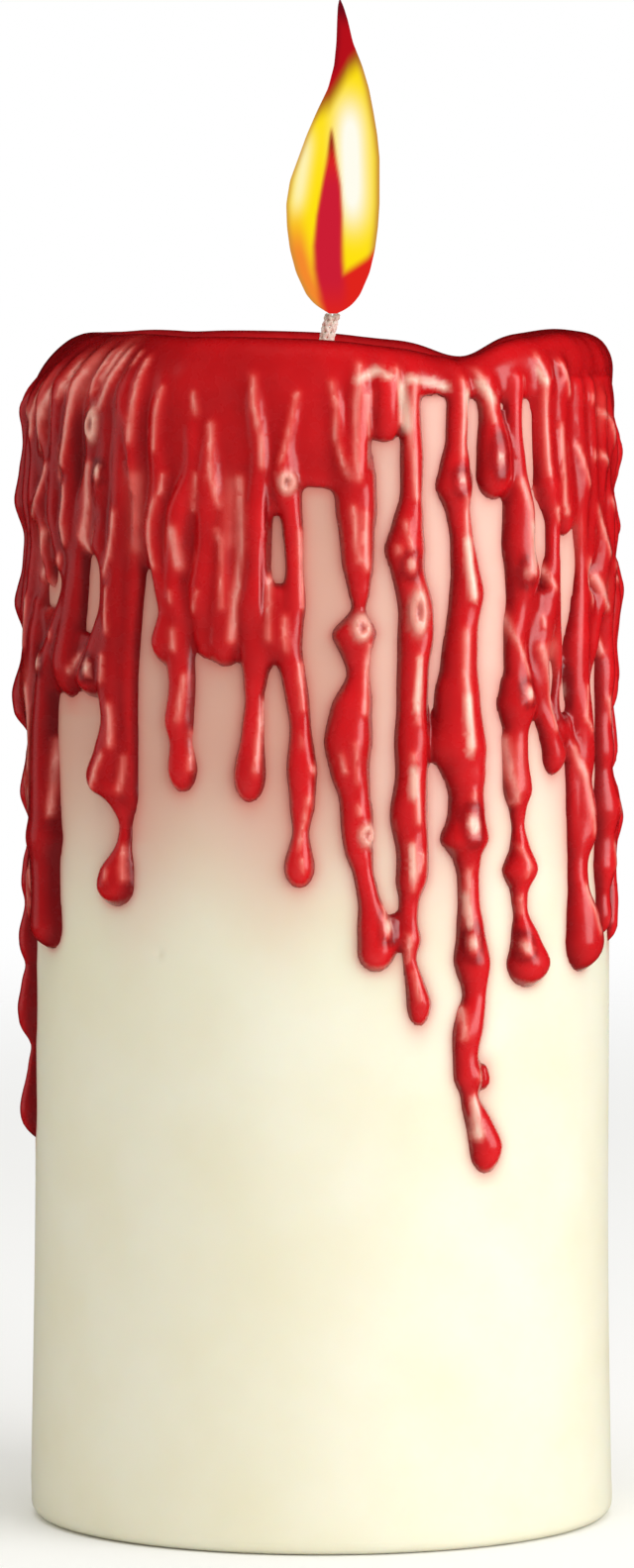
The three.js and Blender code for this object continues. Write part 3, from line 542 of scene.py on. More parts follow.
# Thin late runs raised on top of the drips, painted pale along their middles as painted highlights:
# points (height, bearing), then half width.
LATE_RUNS = [
    # left shoulder and cluster
    [(154, -51.5), (149.5, -51.5), 1.1], [(154.5, -45.4), (150.5, -46.6), (147.5, -48.4), 1],
    [(152, -55.8), (146, -57.3), (140, -59), 1], [(154.4, -49), (151, -49.3), 0.8],
    [(152.5, -59.5), (149.5, -60), 0.7], [(153.5, -37.5), (148, -37.8), (143, -38.8), 0.75],
    [(154.3, -41.5), (153, -41.7), 0.6], [(153, -61), (148.5, -61.8), 0.8],
    [(151, -66.5), (147, -68.5), (142, -71), 1.2], [(150, -73), (143.5, -75), 0.9],
    [(139.3, -48), (138.3, -48), 0.8], [(134, -43.8), (129, -44.6), (126, -46), 0.75],
    [(140, -51.3), (134, -52.6), (130.5, -53.4), (129, -52), 1], [(137, -59.3), (130, -58.4), 1],
    [(142, -61.5), (138, -61.5), 0.6], [(146.5, -77), (145.5, -74), 0.8],
    [(139.5, -67), (136.5, -69), (133, -71.5), 0.9], [(128, -60), (127, -60), 0.8],
    [(131, -68), (125, -70), 0.9], [(115, -63), (113.6, -62.6), 1], [(118, -59.2), (117.3, -59), 0.6],
    [(115.5, -51), (113, -53), 0.7], [(114.3, -47), (113.2, -47), 0.7],
    [(115.5, -43.6), (112, -43.8), 0.6], [(124, -44.7), (121, -44), (118.5, -43), 0.6],
    [(110.5, -68.5), (105, -68.6), (100, -69), 1], [(97, -69.2), (93.5, -68.8), (90, -68), 1],
    [(88, -69.5), (84, -69), 0.8], [(82, -70), (79, -67.2), 0.7], [(109, -42), (104, -41.6), 0.8],
    [(102.7, -43.4), (98.3, -46), 0.75], [(102.5, -39.5), (98, -40.3), 0.6],
    [(91, -40.2), (86.5, -39.8), 0.55], [(87.6, -43), (86.8, -43), 0.7], [(122, -76), (116, -76), 1],
    [(112, -79), (107, -79), 1], [(99, -75), (94, -75), 0.9], [(86, -74), (81, -75), 0.9],
    [(104, -60.8), (94, -61.3), 0.6],
    # the smooth coat and what hangs from it
    [(150, -30.8), (146, -31.6), (142, -32), 0.6], [(149.5, -24.5), (146.8, -24), 0.6],
    [(145.5, -21), (140, -20.8), (135.2, -19.5), 0.7],
    [(151.5, -13), (148, -12.8), (144.3, -11.4), (140, -11), 0.7],
    [(149.5, -4.7), (145, -6), (140.7, -7.5), 0.6], [(139, -30), (136.5, -30.5), 0.55],
    [(136, -31.5), (133, -32.8), (129, -32.8), (127, -31.8), 0.65], [(139, -23.6), (134.5, -24), 0.55],
    [(132, -27.6), (127.3, -26.8), 1.1], [(132, -19.8), (130, -18.8), (122, -18.6), 0.55],
    [(138.5, -15.6), (130, -15.2), (124, -16.1), (118, -17), 0.9], [(123.8, -28.3), (122.8, -28.3), 0.6],
    [(124, -23.3), (121.5, -24), 0.5], [(119, -28), (116.7, -28), 0.8],
    [(113.2, -26), (107.5, -27.2), 0.75], [(106, -25.3), (101, -25.4), 0.5],
    [(110, -11.2), (106, -11.9), (101.2, -12.5), 0.7], [(132, -4.2), (122, -3.7), 0.55],
    [(115, -4.2), (109, -3.6), 0.6], [(106, -3.8), (104.3, -3.6), 0.5],
    [(98, -2.4), (95, -3.4), (91, -4.4), 0.6], [(90, -3.8), (88.7, -3.6), 0.6],
    [(101.9, -1.8), (101, -1.5), 0.6], [(126, -10), (118, -10), 0.7], [(121, -7), (116.5, -6.6), 0.6],
    # under the trough
    [(151, 1.6), (147.5, 2.8), (144, 2.4), (140.3, 4), (138.6, 5.1), 0.6],
    [(153, 7), (148, 6.4), (141, 6.3), (138.5, 6.6), 0.85], [(149.5, 8.8), (144, 8.6), 0.65],
    [(152.5, 14.3), (149, 14.6), (145.7, 15.1), 0.75],
    [(150.3, 17.5), (144, 16.9), (140, 17.4), (136, 17.9), 0.8],
    [(151, 27.6), (146.5, 27.6), (141.5, 27.1), 0.85], [(152, 31), (149, 32.6), (145.8, 33.6), 0.85],
    [(135, 5.7), (128, 6.7), 0.75], [(134.3, 8), (127, 8.3), 0.75], [(133, 15.6), (129.7, 16.6), 0.7],
    [(127.8, 16.8), (126.9, 16.8), 0.8], [(130, 14.3), (129, 14.3), 0.6],
    [(136, 27.9), (130.6, 28.2), (127, 28.5), (123.2, 29.1), 0.85],
    [(119, 27.6), (113, 27.2), (104.2, 27.7), 0.95], [(116, 18.3), (110, 17.5), (107.3, 18), 0.75],
    [(117.3, 9), (114.5, 8.3), (108.7, 7.9), 0.8], [(105, 6), (99.7, 6.3), 0.5],
    [(103.5, 3.4), (101, 4.1), 0.65], [(96.7, 6.6), (95.8, 6.7), 0.7], [(84, 11.4), (80.3, 11.8), 0.65],
    [(103.3, 16.7), (102.4, 16.7), 0.8], [(100.3, 17.1), (94.7, 17.5), 0.8],
    [(91.8, 16.4), (86, 16.6), 0.85], [(90.6, 18.4), (88.2, 18), 0.5], [(80, 16.1), (76.7, 16.1), 0.7],
    [(75.4, 17.2), (71.8, 18), 0.7], [(98.3, 28.3), (97.4, 28.3), 0.7], [(88.3, 27.7), (81, 27.9), 0.7],
    [(79.5, 28.3), (78, 28.4), 0.8], [(70.3, 26.8), (66.6, 26.8), 0.75], [(62, 29.9), (61, 30.1), 0.6],
    [(59, 28.9), (53.6, 29.8), 0.8],
    # right of the trough
    [(138, 39.6), (134, 41.4), (129, 41.4), (126.3, 41.8), 1.05],
    [(137, 44), (134, 45.5), (130, 45.2), (126.5, 47), (124, 48.5), 0.75],
    [(122.7, 36.4), (118.7, 37.9), (115.4, 40.2), (113, 41.6), 0.75], [(111.4, 40.8), (110.2, 40.6), 0.9],
    [(105, 36.7), (100, 37.4), (96.7, 38.3), 0.85], [(90.9, 39.3), (89, 40.3), (87, 39.6), 0.65],
    [(84.5, 39.6), (82.2, 40), 0.6], [(78.5, 40.1), (77.3, 40.1), 0.9],
    [(154, 44.8), (150, 46), (143, 46.5), (138.7, 46.8), 0.75],
    [(145, 50.5), (140, 51), (135, 51.5), (133.6, 52.4), 0.85], [(153, 50.6), (149, 53.3), 0.75],
    [(142.5, 55.5), (140, 57.4), (137.2, 59.3), 0.75], [(134.5, 49.1), (132.7, 50.1), 0.65],
    [(127, 61), (122, 62.3), 1.2], [(125, 64.5), (121, 68.5), 1.1], [(141, 65), (139.8, 69.5), 0.8],
    [(146.6, 64.5), (145.8, 70), 0.7], [(126.5, 74), (124.5, 79), 0.9],
    [(134, 64), (131, 66), (128, 68.5), 0.85], [(145, 71.5), (142, 75.5), 0.9],
    [(148.7, 61), (148, 61), 0.8], [(141.3, 61.5), (140.6, 62), 0.7], [(135, 72), (132.5, 77), 0.9],
    [(120.5, 45), (119.3, 45.2), 0.7], [(116.5, 44.6), (112, 47.5), (106, 48.6), 1.1],
    [(111, 57.8), (107, 57), (105.2, 59), 0.65], [(103, 54.6), (99, 57), (92, 58.6), 1],
    [(85, 57), (79, 59.5), 0.85], [(117, 66.5), (115, 67.5), 0.7], [(95, 73), (93, 76), 0.8],
    [(90, 71), (87, 73), 0.8], [(109, 69), (106, 71), 0.8],
]
# Beads that froze with a ringed dimple, painted with a pale ring as painted highlight and a darker middle
# as painted shade: height, bearing, ring radius, height over width.
RINGED_BEADS = [
    (145.2, -50.2, 0.8, 1.9), (138.1, -6.4, 0.75, 1.3), (119.6, 7.4, 0.85, 1.4), (121.6, 18.2, 0.8, 2.6),
    (93, 8.3, 0.75, 1.3),
]
# Pale patches on the red: partly where the red is thin and the ivory glows through it, partly painted
# highlights, as on the left shoulder: top, foot, bearing, half width, strength.
BLUSHES = [
    (138, 130.5, -17.4, 1.3, 0.6), (131.8, 129.8, -28.3, 1, 0.5), (138.5, 129.5, -37.8, 1.2, 0.75),
    (152.8, 150, -61, 1.6, 0.6), (153, 150, -56, 2.4, 0.7), (154, 151.5, -48.5, 2.4, 0.7),
    (150, 143, -69.5, 1.8, 0.5), (130.5, 125.5, -69.5, 2, 0.6), (123.5, 122.3, -64.5, 1.8, 0.9),
    (112, 99, -68.5, 1.6, 0.5), (139, 131, -52.5, 1.2, 0.45), (146.5, 145.5, -76, 1.6, 0.5),
    (147.5, 146, 66, 2, 0.4), (116.3, 113.5, 48.2, 1.9, 0.75), (124, 122, 68.5, 1.2, 0.5),
    (131.5, 127, 57, 1.2, 0.5), (104, 99, 38.8, 1, 0.6),
]
# Painted glints on beads: cream spots, each with a painted dark ring round it: height, bearing, radius,
# height over width.
GLINT_SPOTS = [
    (138.1, 26.7, 0.5, 1.5), (141.2, 34.5, 0.45, 2.3), (127.6, 16.6, 0.45, 1.6), (94.1, 28, 0.75, 1.9),
    (78.9, 28.4, 0.5, 2), (81.3, 12.2, 0.5, 1.8), (110.7, 40.7, 0.55, 1.4), (126.3, 40.6, 0.4, 1.8),
    (139.2, -48.2, 0.45, 1.2), (114, -62.8, 0.7, 1.2), (113.8, -47.2, 0.45, 1.3),
    (110.2, 52.6, 0.75, 2.2), (77.9, 40, 0.45, 1.5),
]
# Painted glints in thin streaks, almost white, as on the lip under the trough: points (height, bearing),
# then half width.
GLINT_RUNS = [
    [(151.1, 6.6), (152.3, 10.2), (151.5, 13.2), 0.45], [(150.4, 15), (147.5, 15.9), (145, 16.2), 0.6],
    [(151.2, 16.4), (150.9, 20.5), (150.1, 24.5), 0.45], [(149.4, 28.4), (146.2, 29), 0.5],
    [(150.7, 31.2), (148.4, 33.4), 0.5], [(152.4, 44.5), (150.5, 46), 0.35],
    [(130.6, 28.2), (127, 28.5), (123.4, 29), 0.5], [(110.6, 27.4), (103.4, 27.2), 0.45],
    [(101.4, 16.8), (97.8, 16.7), 0.4], [(91.5, 16.3), (87.7, 16.5), 0.4],
    [(85.2, 27.4), (81, 27.8), 0.3], [(58.5, 28.9), (53.8, 29.7), 0.4],
    [(115.5, 18.3), (109, 17.8), 0.35], [(132.5, 41.8), (127.5, 42.6), 0.35],
]
# A thin film between the drips of the two clusters, in rows like a drip's.
VEILS = [
    [(149, -76, 5.4), (136, -76, 5.2), (124, -77, 5), (112, -77, 4.6), 107],
    [(149, -61, 4.4), (136, -62, 3.8), (129, -62, 3.4), 126],
    [(149, -47, 5.5), (138, -47.5, 5), (131, -47.5, 4.8), 128],
    [(131, -57, 1.9), (120, -57, 1.8), (114, -56, 1.7), 111],
    [(131, -45, 1.9), (120, -44.5, 2), (114, -45, 2.2), 111],
    [(119, -63, 5), (116, -62, 5), (113, -60, 4.6), 110], [(116.5, -52, 3.6), (114, -51, 3.4), 110.5],
    [(149, 54, 7.2), (142, 54, 6.6), (136, 55, 6), 132],
    [(149, 72, 6.2), (136, 72, 5.6), (126, 73, 4.8), 122], [(136, 63, 3), (130, 62.5, 2.6), 127],
    [(122, 61, 3), (117, 60, 3.4), (111, 58, 2.8), 107], [(124, 71, 3.2), (117, 71.5, 2.4), 113],
    [(122, 45, 3.8), (117, 45, 3.2), (113, 45, 2.2), 109], [(112, 40.5, 2.6), (109, 41, 3), 106],
]
# Round the back the drips follow no pattern, only the same habit. Behind the trough they start lower.
BACK_BEARINGS = np.arange(112.0, 264.0, 6.1)
BACK_ENDS = [112, 100, 90, 78, 64]
BACK_TOP = 152.0
TROUGH_BACK, TROUGH_BACK_TOP = 151.0, 147.6
dice = np.random.default_rng(7)


def back_drip(bearing):
    """One drip for the back: a run that narrows and swells by chance and ends in a bead."""
    centre = bearing + dice.uniform(-1.2, 1.2)
    end = dice.choice(BACK_ENDS) + dice.uniform(-6, 6)
    top = TROUGH_BACK_TOP if abs(bearing - TROUGH_BACK) < 10.0 else BACK_TOP
    rows = [(top, centre, dice.uniform(1.2, 1.7))]
    level = 147.0
    wide = True
    while level > end + 6:
        width = dice.uniform(1.7, 2.9) if wide else dice.uniform(1.0, 1.6)
        centre += dice.uniform(-0.7, 0.7)
        rows.append((level, centre, width))
        level -= dice.uniform(3.6, 7.0)
        wide = not wide
    tail = dice.uniform(1.9, 2.9)
    rows.append((end + 7.0, centre, dice.uniform(0.9, 1.4)))
    rows.append((end + 1.4 * tail, centre + dice.uniform(-0.6, 0.6), tail))
    return [*sorted(rows, reverse=True), end]


DRIPS += [back_drip(bearing) for bearing in BACK_BEARINGS]


def smooth_step(value, start=0.0, run=1.0):
    """0 at a start and 1 a run further on, eased between; a negative run goes down the scale."""
    value = np.clip((value - start) / run, 0, 1)
    return value * value * (3 - 2 * value)


def drawn_tight(bearings, heights):
    """The tables' bearings are laid out on a loose sheet round the candle. On the wall those of the
    front spread a little to both sides, each side by its own slack, and those of the back stay."""
    upper = smooth_step(heights, 95.0, 18.0)
    right = SHEET_SLACK - (SHEET_SLACK - TIGHT_SLACK * smooth_step(bearings, 26.0, 14.0)) * upper
    left = TIGHT_SLACK + 0.013 * upper + 0.012 * smooth_step(-bearings, 50.0, 8.0)
    left *= smooth_step(-bearings, 16.0, 16.0)
    left -= 0.055 * smooth_step(heights, 112.0, 20.0) * smooth_step(-bearings, 30.0, 12.0)
    slack = np.where(bearings > 0, right, left)
    front = smooth_step(np.abs(bearings), 75.0, -9.0)
    return bearings + np.degrees(slack * np.tan(np.radians(bearings * (front > 0)))) * front


EDGE_START, EDGE_START_HEIGHT = COAT_EDGE[0]
back_edge = [(b, 143 + 3.2 * math.sin(b / 9) + 2.6 * math.sin(b / 4.1)) for b in np.arange(98, 262, 3)]
edge_bearings, edge_heights = np.array(
    COAT_EDGE + back_edge + [(EDGE_START + 360, EDGE_START_HEIGHT)]).T
edge_bearings = drawn_tight(edge_bearings, edge_heights)

# The wax is worked out as a distance field on a grid of voxels, negative inside, and then skinned.
span_x = np.arange(-GRID_HALF_WIDTH, GRID_HALF_WIDTH + VOXEL, VOXEL)
span_z = np.arange(GRID_FOOT, GRID_TOP, VOXEL)
GRID_CORNER = np.array([span_x[0], span_x[0], span_z[0]])
grid_x, grid_y = np.meshgrid(span_x, span_x, indexing="ij")


def bearing_and_reach(x, y):
    """Bearing in degrees from the front, positive to the right, and distance from the axis."""
    return np.degrees(np.arctan2(x, -y)), np.hypot(x, y)


grid_bearing, grid_reach = bearing_and_reach(grid_x, grid_y)
drip_zone = (grid_reach > DRIP_ZONE[0]) & (grid_reach < DRIP_ZONE[1])
crater_height = np.interp(grid_reach, [CRATER_RADIUS, CRATER_TOP_RADIUS], [CRATER_HEIGHT, RIM_HEIGHT])


def soft_min(a, b, blend):
    """The smaller of two fields, rounded over where they meet: two volumes of wax run together."""
    mix = np.maximum(blend - np.abs(a - b), 0) / blend
    return np.minimum(a, b) - mix * mix * blend / 4


def soft_max(a, b, blend):
    """The larger of two fields, rounded over: what is left of one volume inside the other."""
    return -soft_min(-a, -b, blend)


def body_slice(level, radius):
    """One slice of the ivory body's own field, with its wall at a radius and its crater a little sunk."""
    return np.maximum(grid_reach - radius, level - (crater_height - SUNK))


def crest_height(x, y):
    """Height of the piled-up rim: level, but for a trough that crosses it right of the wick, a gentle
    slope down to the trough, and a mound at each side."""
    across = x - TROUGH_X - 0.02 * y
    trough = np.exp(-(across / np.where(across < 0, *TROUGH_WIDTHS)) ** 2)
    slope = np.exp(-((x - 9.0) / 6.0) ** 2)
    mound = 0.75 * smooth_step(x, 26.0, 6.0) + 0.8 * smooth_step(-x, 16.0, 8.0)
    unevenness = 0.22 * np.sin(x / 7.3 + 0.4) * np.cos(y / 9.1)
    return CREST_HEIGHT - 0.2 + mound - (TROUGH_DEPTH + 0.012 * y) * trough - 0.7 * slope + unevenness


def shoulder_radius(x):
    """How broadly the wax rounds over the rim."""
    tight, broad = SHOULDER_RADII
    return tight + (broad - tight) * smooth_step(-x, 8.0, 22.0)


def fall_back(level, x, y):
    """How far the shoulder has curved inwards at a height, stopping just short of its flat top."""
    rounding = shoulder_radius(x)
    above = np.clip(level - (crest_height(x, y) - rounding), 0, 0.985 * rounding)
    return rounding - np.sqrt(rounding ** 2 - above ** 2)


def coat_edge(bearing):
    """Height of the coat's lower edge."""
    return np.interp(np.mod(bearing - EDGE_START, 360.0) + EDGE_START, edge_bearings, edge_heights)


def dish_height(reach):
    """The top surface inside the rim: a level pool, then a slope up to the crest."""
    return POOL_HEIGHT + DISH_RISE * smooth_step(reach, POOL_RADIUS, CREST_RADIUS - POOL_RADIUS)


def coat_field():
    """Field of everything but the drips: a disc of wax, rounded over at the rim and dished inside it,
    whose wall thins down to the coat's ragged edge, and which is hollow where the body and wick are."""
    edge = coat_edge(grid_bearing)
    crest = crest_height(grid_x, grid_y)
    rounding = shoulder_radius(grid_x)
    # The wall has faint upright ripples and is thinner at the far right. The dish meets every crest.
    ripple = 0.06 * np.sin(grid_bearing / 2.3) + 0.03 * np.sin(grid_bearing / 1.07 + 2.0)
    outside = COAT_RADIUS + ripple - 0.55 * smooth_step(grid_x, 26, 10)
    dish = dish_height(grid_reach) + (crest - CREST_HEIGHT) * smooth_step(grid_reach, 12, 18)
    bore = WICK_BORE_RADIUS - grid_reach
    field = np.empty((*grid_x.shape, len(span_z)), np.float32)
    for index, level in enumerate(span_z):
        thin = 0.35 * smooth_step((edge + 9.0 - level) / 9.0)
        across = grid_reach - (outside - thin - rounding)
        above = level - (crest - rounding)
        corner = np.hypot(np.maximum(across, 0), np.maximum(above, 0))
        hull = corner + np.minimum(np.maximum(across, above), 0) - rounding
        # The lip of the dish and the coat's lower edge are rounded over.
        hull = soft_max(hull, 0.9 * (level - dish), 2.0)
        hull = soft_max(hull, 0.8 * (edge - level), 1.6)
        field[:, :, index] = np.maximum(np.maximum(hull, -body_slice(level, BODY_RADIUS - SUNK)), bore)
    return field


def resampled(rows, levels, column, eased):
    """A drip's bearing or half width at every level, running smoothly from station to station."""
    heights = np.array([row[0] for row in rows])[::-1]
    values = np.array([row[column] for row in rows])[::-1]
    place = np.clip(np.searchsorted(heights, levels) - 1, 0, len(heights) - 2)
    share = np.clip((levels - heights[place]) / (heights[place + 1] - heights[place]), 0, 1)
    if eased:
        share = 0.35 * share + 0.65 * smooth_step(share)
    return values[place] + share * (values[place + 1] - values[place])


def softened(values, reach):
    """A row of values averaged over that many neighbours each way."""
    kernel = np.hanning(2 * reach + 3)[1:-1]
    padded = np.pad(values, reach, mode="edge")
    return np.convolve(padded, kernel / kernel.sum(), mode="valid")


def turned_from(middle):
    """Every column's bearing as counted from a middle one, -180 to 180."""
    return np.mod(grid_bearing - middle + 180, 360) - 180


def add_drip(field, drip, film=0.0):
    """Runs one drip down the field, slice by slice: a string of domed beads on the wall, or a film."""
    rows, end = drip[:-1], drip[-1]
    top, tail_height, tail = rows[0][0], rows[-1][0], rows[-1][2]
    levels = np.arange(tail_height, top + VOXEL, VOXEL)
    bearings = drawn_tight(softened(resampled(rows, levels, 1, False), 5), levels)
    widths = softened(resampled(rows, levels, 2, True), 1)
    slope = np.gradient(widths, VOXEL)
    drift = np.gradient(bearings, VOXEL) * math.radians(1) * BODY_RADIUS
    steepness = np.sqrt(1 + slope ** 2 + drift ** 2)
    middle = 0.5 * (bearings.min() + bearings.max())
    spread = 0.5 * (bearings.max() - bearings.min()) + math.degrees((widths.max() + 3.5) / BODY_RADIUS)
    crown = FILM_CROWN if film else DRIP_CROWN
    fullness = 0.86 + 0.09 * smooth_step(abs(middle), 60, 18)
    turned = turned_from(middle)
    near = (np.abs(turned) < spread) & drip_zone
    cell_x, cell_y = np.nonzero(near)
    reach, local = grid_reach[near], turned[near]
    edge = coat_edge(grid_bearing[near])
    crest = crest_height(grid_x[near], grid_y[near])
    for index in np.nonzero((span_z > end - 4) & (span_z < top + 2.5))[0]:
        level = span_z[index]
        bearing = np.interp(level, levels, bearings)
        width = float(np.interp(level, levels, widths))
        over_coat = OVER_COAT * smooth_step(level, edge, 5.0) * smooth_step(level, top + 1.5, -5.0)
        side = math.radians(1) * BODY_RADIUS * (local - (bearing - middle))
        # Past its two ends the drip closes in a dome, and at the rim it dies out just under the crest.
        drop = 0.0
        if level < tail_height:
            drop = (tail_height - level) * tail / (tail_height - end)
        elif level > top:
            drop = (level - top) * (2.0 if film else 1.0)
        drop = np.maximum(drop, 1.5 * (level - crest + 1.2))
        # The wider a drip, the flatter. The field is the depth under its face, evened out by its tilt.
        rise = film or fullness * width - 0.035 * width ** 2
        part = (side ** 2 + drop ** 2) / width ** 2
        slant = rise * 2 * crown * part ** (crown - 0.5) / width
        depth = reach - BODY_RADIUS - over_coat + fall_back(level, grid_x[near], grid_y[near])
        tilt = np.sqrt(slant ** 2 + np.interp(level, levels, steepness) ** 2)
        distance = (depth - rise * (1 - part ** crown)) / tilt
        distance = np.maximum(distance, -depth - INWARD)
        field[cell_x, cell_y, index] = soft_min(field[cell_x, cell_y, index], distance, DRIP_BLEND)


def beside_run(points, reach_out, stretch=1.0):
    """The cells round a path on the wax, and how far each one lies from it."""
    heights, bearings = np.array(points, float).T
    bearings = drawn_tight(bearings, heights)
    middle = bearings.mean()
    turned = turned_from(middle)
    spread = np.abs(bearings - middle).max() + math.degrees(reach_out / BODY_RADIUS)
    cell_x, cell_y = np.nonzero((np.abs(turned) < spread) & drip_zone)
    tall = reach_out * stretch
    slices = np.nonzero((span_z > heights.min() - tall) & (span_z < heights.max() + tall))[0]
    across = math.radians(1) * FACE_RADIUS * turned[cell_x, cell_y][:, None]
    level = span_z[slices][None, :]
    path_across = math.radians(1) * FACE_RADIUS * (bearings - middle)
    nearest = np.full((len(cell_x), len(slices)), np.inf)
    for start in range(max(len(heights) - 1, 1)):
        stop = min(start + 1, len(heights) - 1)
        run = np.array([path_across[stop] - path_across[start], heights[stop] - heights[start]])
        from_x, from_z = across - path_across[start], level - heights[start]
        along = np.clip((from_x * run[0] + from_z * run[1]) / max(run @ run, 1e-9), 0, 1)
        gap = np.hypot(from_x - along * run[0], (from_z - along * run[1]) / stretch)
        nearest = np.minimum(nearest, gap)
    return (cell_x[:, None], cell_y[:, None], slices[None, :]), nearest


def raise_to(field, cells, values):
    """Lifts a field's cells to the values wherever they are lower."""
    field[cells] = np.maximum(field[cells], values)


red_field = coat_field()
for veil in VEILS:
    add_drip(red_field, veil, film=FILM_RISE)
for drip in DRIPS:
    add_drip(red_field, drip)

# The marks on the drips: each is raised a little in the wax, or only paints it: paler, as painted
# highlights and, in the blushes, as thin wax; creamier, as painted glints; darker, as painted shade.
paleness, cream, painted_shade_marks = (np.zeros(red_field.shape, np.float32) for _ in range(3))
for *points, half_width in LATE_RUNS:
    cells, gap = beside_run(points, MARK_REACH * half_width)
    offset = (gap / half_width) ** 2
    red_field[cells] -= 0.26 * half_width * (1 - 0.3 * offset) * np.exp(-0.9 * offset)
    raise_to(paleness, cells, smooth_step(1.4 - 1.35 * np.sqrt(offset)))
for height, bearing, radius, stretch in RINGED_BEADS:
    cells, gap = beside_run([(height, bearing)], radius + 1.3, stretch)
    offset = (np.abs(gap - radius) / RING_WIDTH) ** 2
    red_field[cells] -= 0.34 * (1 - offset) * np.exp(-0.8 * offset)
    raise_to(painted_shade_marks, cells, np.exp(-(gap / (0.7 * radius)) ** 2))
    raise_to(paleness, cells, np.exp(-1.2 * offset))
    raise_to(cream, cells, 0.55 * np.exp(-1.2 * offset))
for top, foot, bearing, half_width, strength in BLUSHES:
    cells, gap = beside_run([(top, bearing), (foot, bearing)], MARK_REACH * half_width)
    raise_to(paleness, cells, strength * np.exp(-(gap / half_width) ** 2))
for height, bearing, radius, stretch in GLINT_SPOTS:
    cells, gap = beside_run([(height, bearing)], radius + 1.0, stretch)
    raise_to(cream, cells, smooth_step((radius - gap) / 0.4 + 0.15))
    raise_to(painted_shade_marks, cells, np.exp(-((gap - radius - 0.7) / 0.5) ** 2))
for *points, half_width in GLINT_RUNS:
    cells, gap = beside_run(points, MARK_REACH * half_width)
    raise_to(cream, cells, 0.8 * smooth_step(1.45 - 1.1 * gap / half_width))

# Nothing may hang over the hidden inside: the wax ends half a millimetre within the body's skin. How
# much wax and body lies round each place is half on a flat wall, less on a ridge and more in a groove.
solid = np.empty_like(red_field)
for index, level in enumerate(span_z):
    red_slice = red_field[:, :, index]
    red_slice[:] = np.maximum(red_slice, -body_slice(level, BODY_RADIUS - SUNK))
    solid[:, :, index] = np.minimum(red_slice, body_slice(level, BODY_RADIUS))

SKIN_BAND = 3.0  # beyond this the skinning needs no distances
voxels = openvdb.FloatGrid(SKIN_BAND)
voxels.copyFromArray(np.clip(red_field, -SKIN_BAND, SKIN_BAND))
skin_points, skin_quads = voxels.convertToQuads(isovalue=0.0)
skin_points = skin_points * VOXEL + GRID_CORNER


def sample(field, points):
    """The field's value at points in millimetres, between the voxels."""
    place = np.clip((points - GRID_CORNER) / VOXEL, 0, np.array(field.shape) - 1.001)
    low = place.astype(int)
    share = place - low
    total = np.zeros(len(points))
    for corner in np.ndindex(2, 2, 2):
        weight = np.prod(np.where(corner, share, 1 - share), axis=1)
        total += weight * field[tuple((low + corner).T)]
    return total


def field_normals(field, points):
    """Outward directions of the field at points: far smoother than the skin's own faces."""
    step = 0.6 * VOXEL
    columns = []
    for axis in range(3):
        shift = np.zeros(3)
        shift[axis] = step
        columns.append(sample(field, points + shift) - sample(field, points - shift))
    normals = np.array(columns).T
    return normals / np.maximum(np.linalg.norm(normals, axis=1, keepdims=True), 1e-9)


def blurred(field, reach):
    """A field averaged over a few voxels each way, twice over."""
    for axis in (0, 1, 2, 0, 1, 2):
        sums = np.cumsum(np.moveaxis(field, axis, 0), axis=0, dtype=np.float64)
        width = 2 * reach + 1
        padded = np.concatenate([np.zeros((1, *sums.shape[1:])), sums])
        mean = np.empty_like(sums)
        mean[reach:-reach] = (padded[width:] - padded[:-width]) / width
        mean[:reach], mean[-reach:] = mean[reach], mean[-reach - 1]
        field = np.moveaxis(mean, 0, axis)
    return field


surroundings = blurred(np.clip(0.5 - solid / VOXEL, 0, 1), 2)

# Dyed paraffin set from the melt: deep and glossy like a hard sweet, painted darkest where a drip's side
# turns under to the body, as painted shade, with a thin bloom that breaks up the highlights. Painted
# highlights lie pale and cloudy along the late runs, cream spots are painted glints, and the pool, which
# skinned over slowly, is duller than the drips.
red_paraffin, tree, output = new_material("poured red paraffin")
place = add_node(tree, "ShaderNodeTexCoord").outputs["Object"]
painted_light_and_shade, pale_runs, glint_amount, wetness = (
    add_node(tree, "ShaderNodeAttribute", {"attribute_name": name}).outputs["Fac"]
    for name in ("painted_light_and_shade", "paleness", "cream", "wetness"))
# Painted light and shade: dark red in grooves and on steep flanks, lighter red on ridges.
light_and_shade_ramp = add_node(tree, "ShaderNodeValToRGB", inputs={"Fac": painted_light_and_shade})
set_ramp(light_and_shade_ramp, [(0.0, linear("#84080E")), (0.3, linear("#A60910")), (0.55, linear("#C60C13")),
                      (0.8, linear("#D81219")), (1.0, linear("#E23638"))])
dye_clouds = add_node(tree, "ShaderNodeTexNoise", inputs={
    "Vector": place, "Scale": 1 / 0.011, "Detail": 2.0})
dye = add_node(tree, "ShaderNodeMapRange", inputs={
    "Value": dye_clouds.outputs["Fac"], "From Min": 0.3, "From Max": 0.7, "To Min": 0.86, "To Max": 1.06})
dyed = add_node(tree, "ShaderNodeMix", {"data_type": "RGBA", "blend_type": "MULTIPLY"}, {
    "Factor": 1.0, "A": light_and_shade_ramp.outputs["Color"], "B": dye.outputs["Result"]})
pale_ramp = add_node(tree, "ShaderNodeValToRGB", inputs={"Fac": pale_runs})
set_ramp(pale_ramp, [(0.3, linear("#E0443C")), (0.7, linear("#F07468")), (1.0, linear("#F8A99B"))])
clouds = add_node(tree, "ShaderNodeTexNoise", inputs={
    "Vector": place, "Scale": 1 / 0.0035, "Detail": 1.0})
cloudy = add_node(tree, "ShaderNodeMapRange", inputs={
    "Value": clouds.outputs["Fac"], "From Min": 0.35, "From Max": 0.6, "To Min": 0.68, "To Max": 1.0})
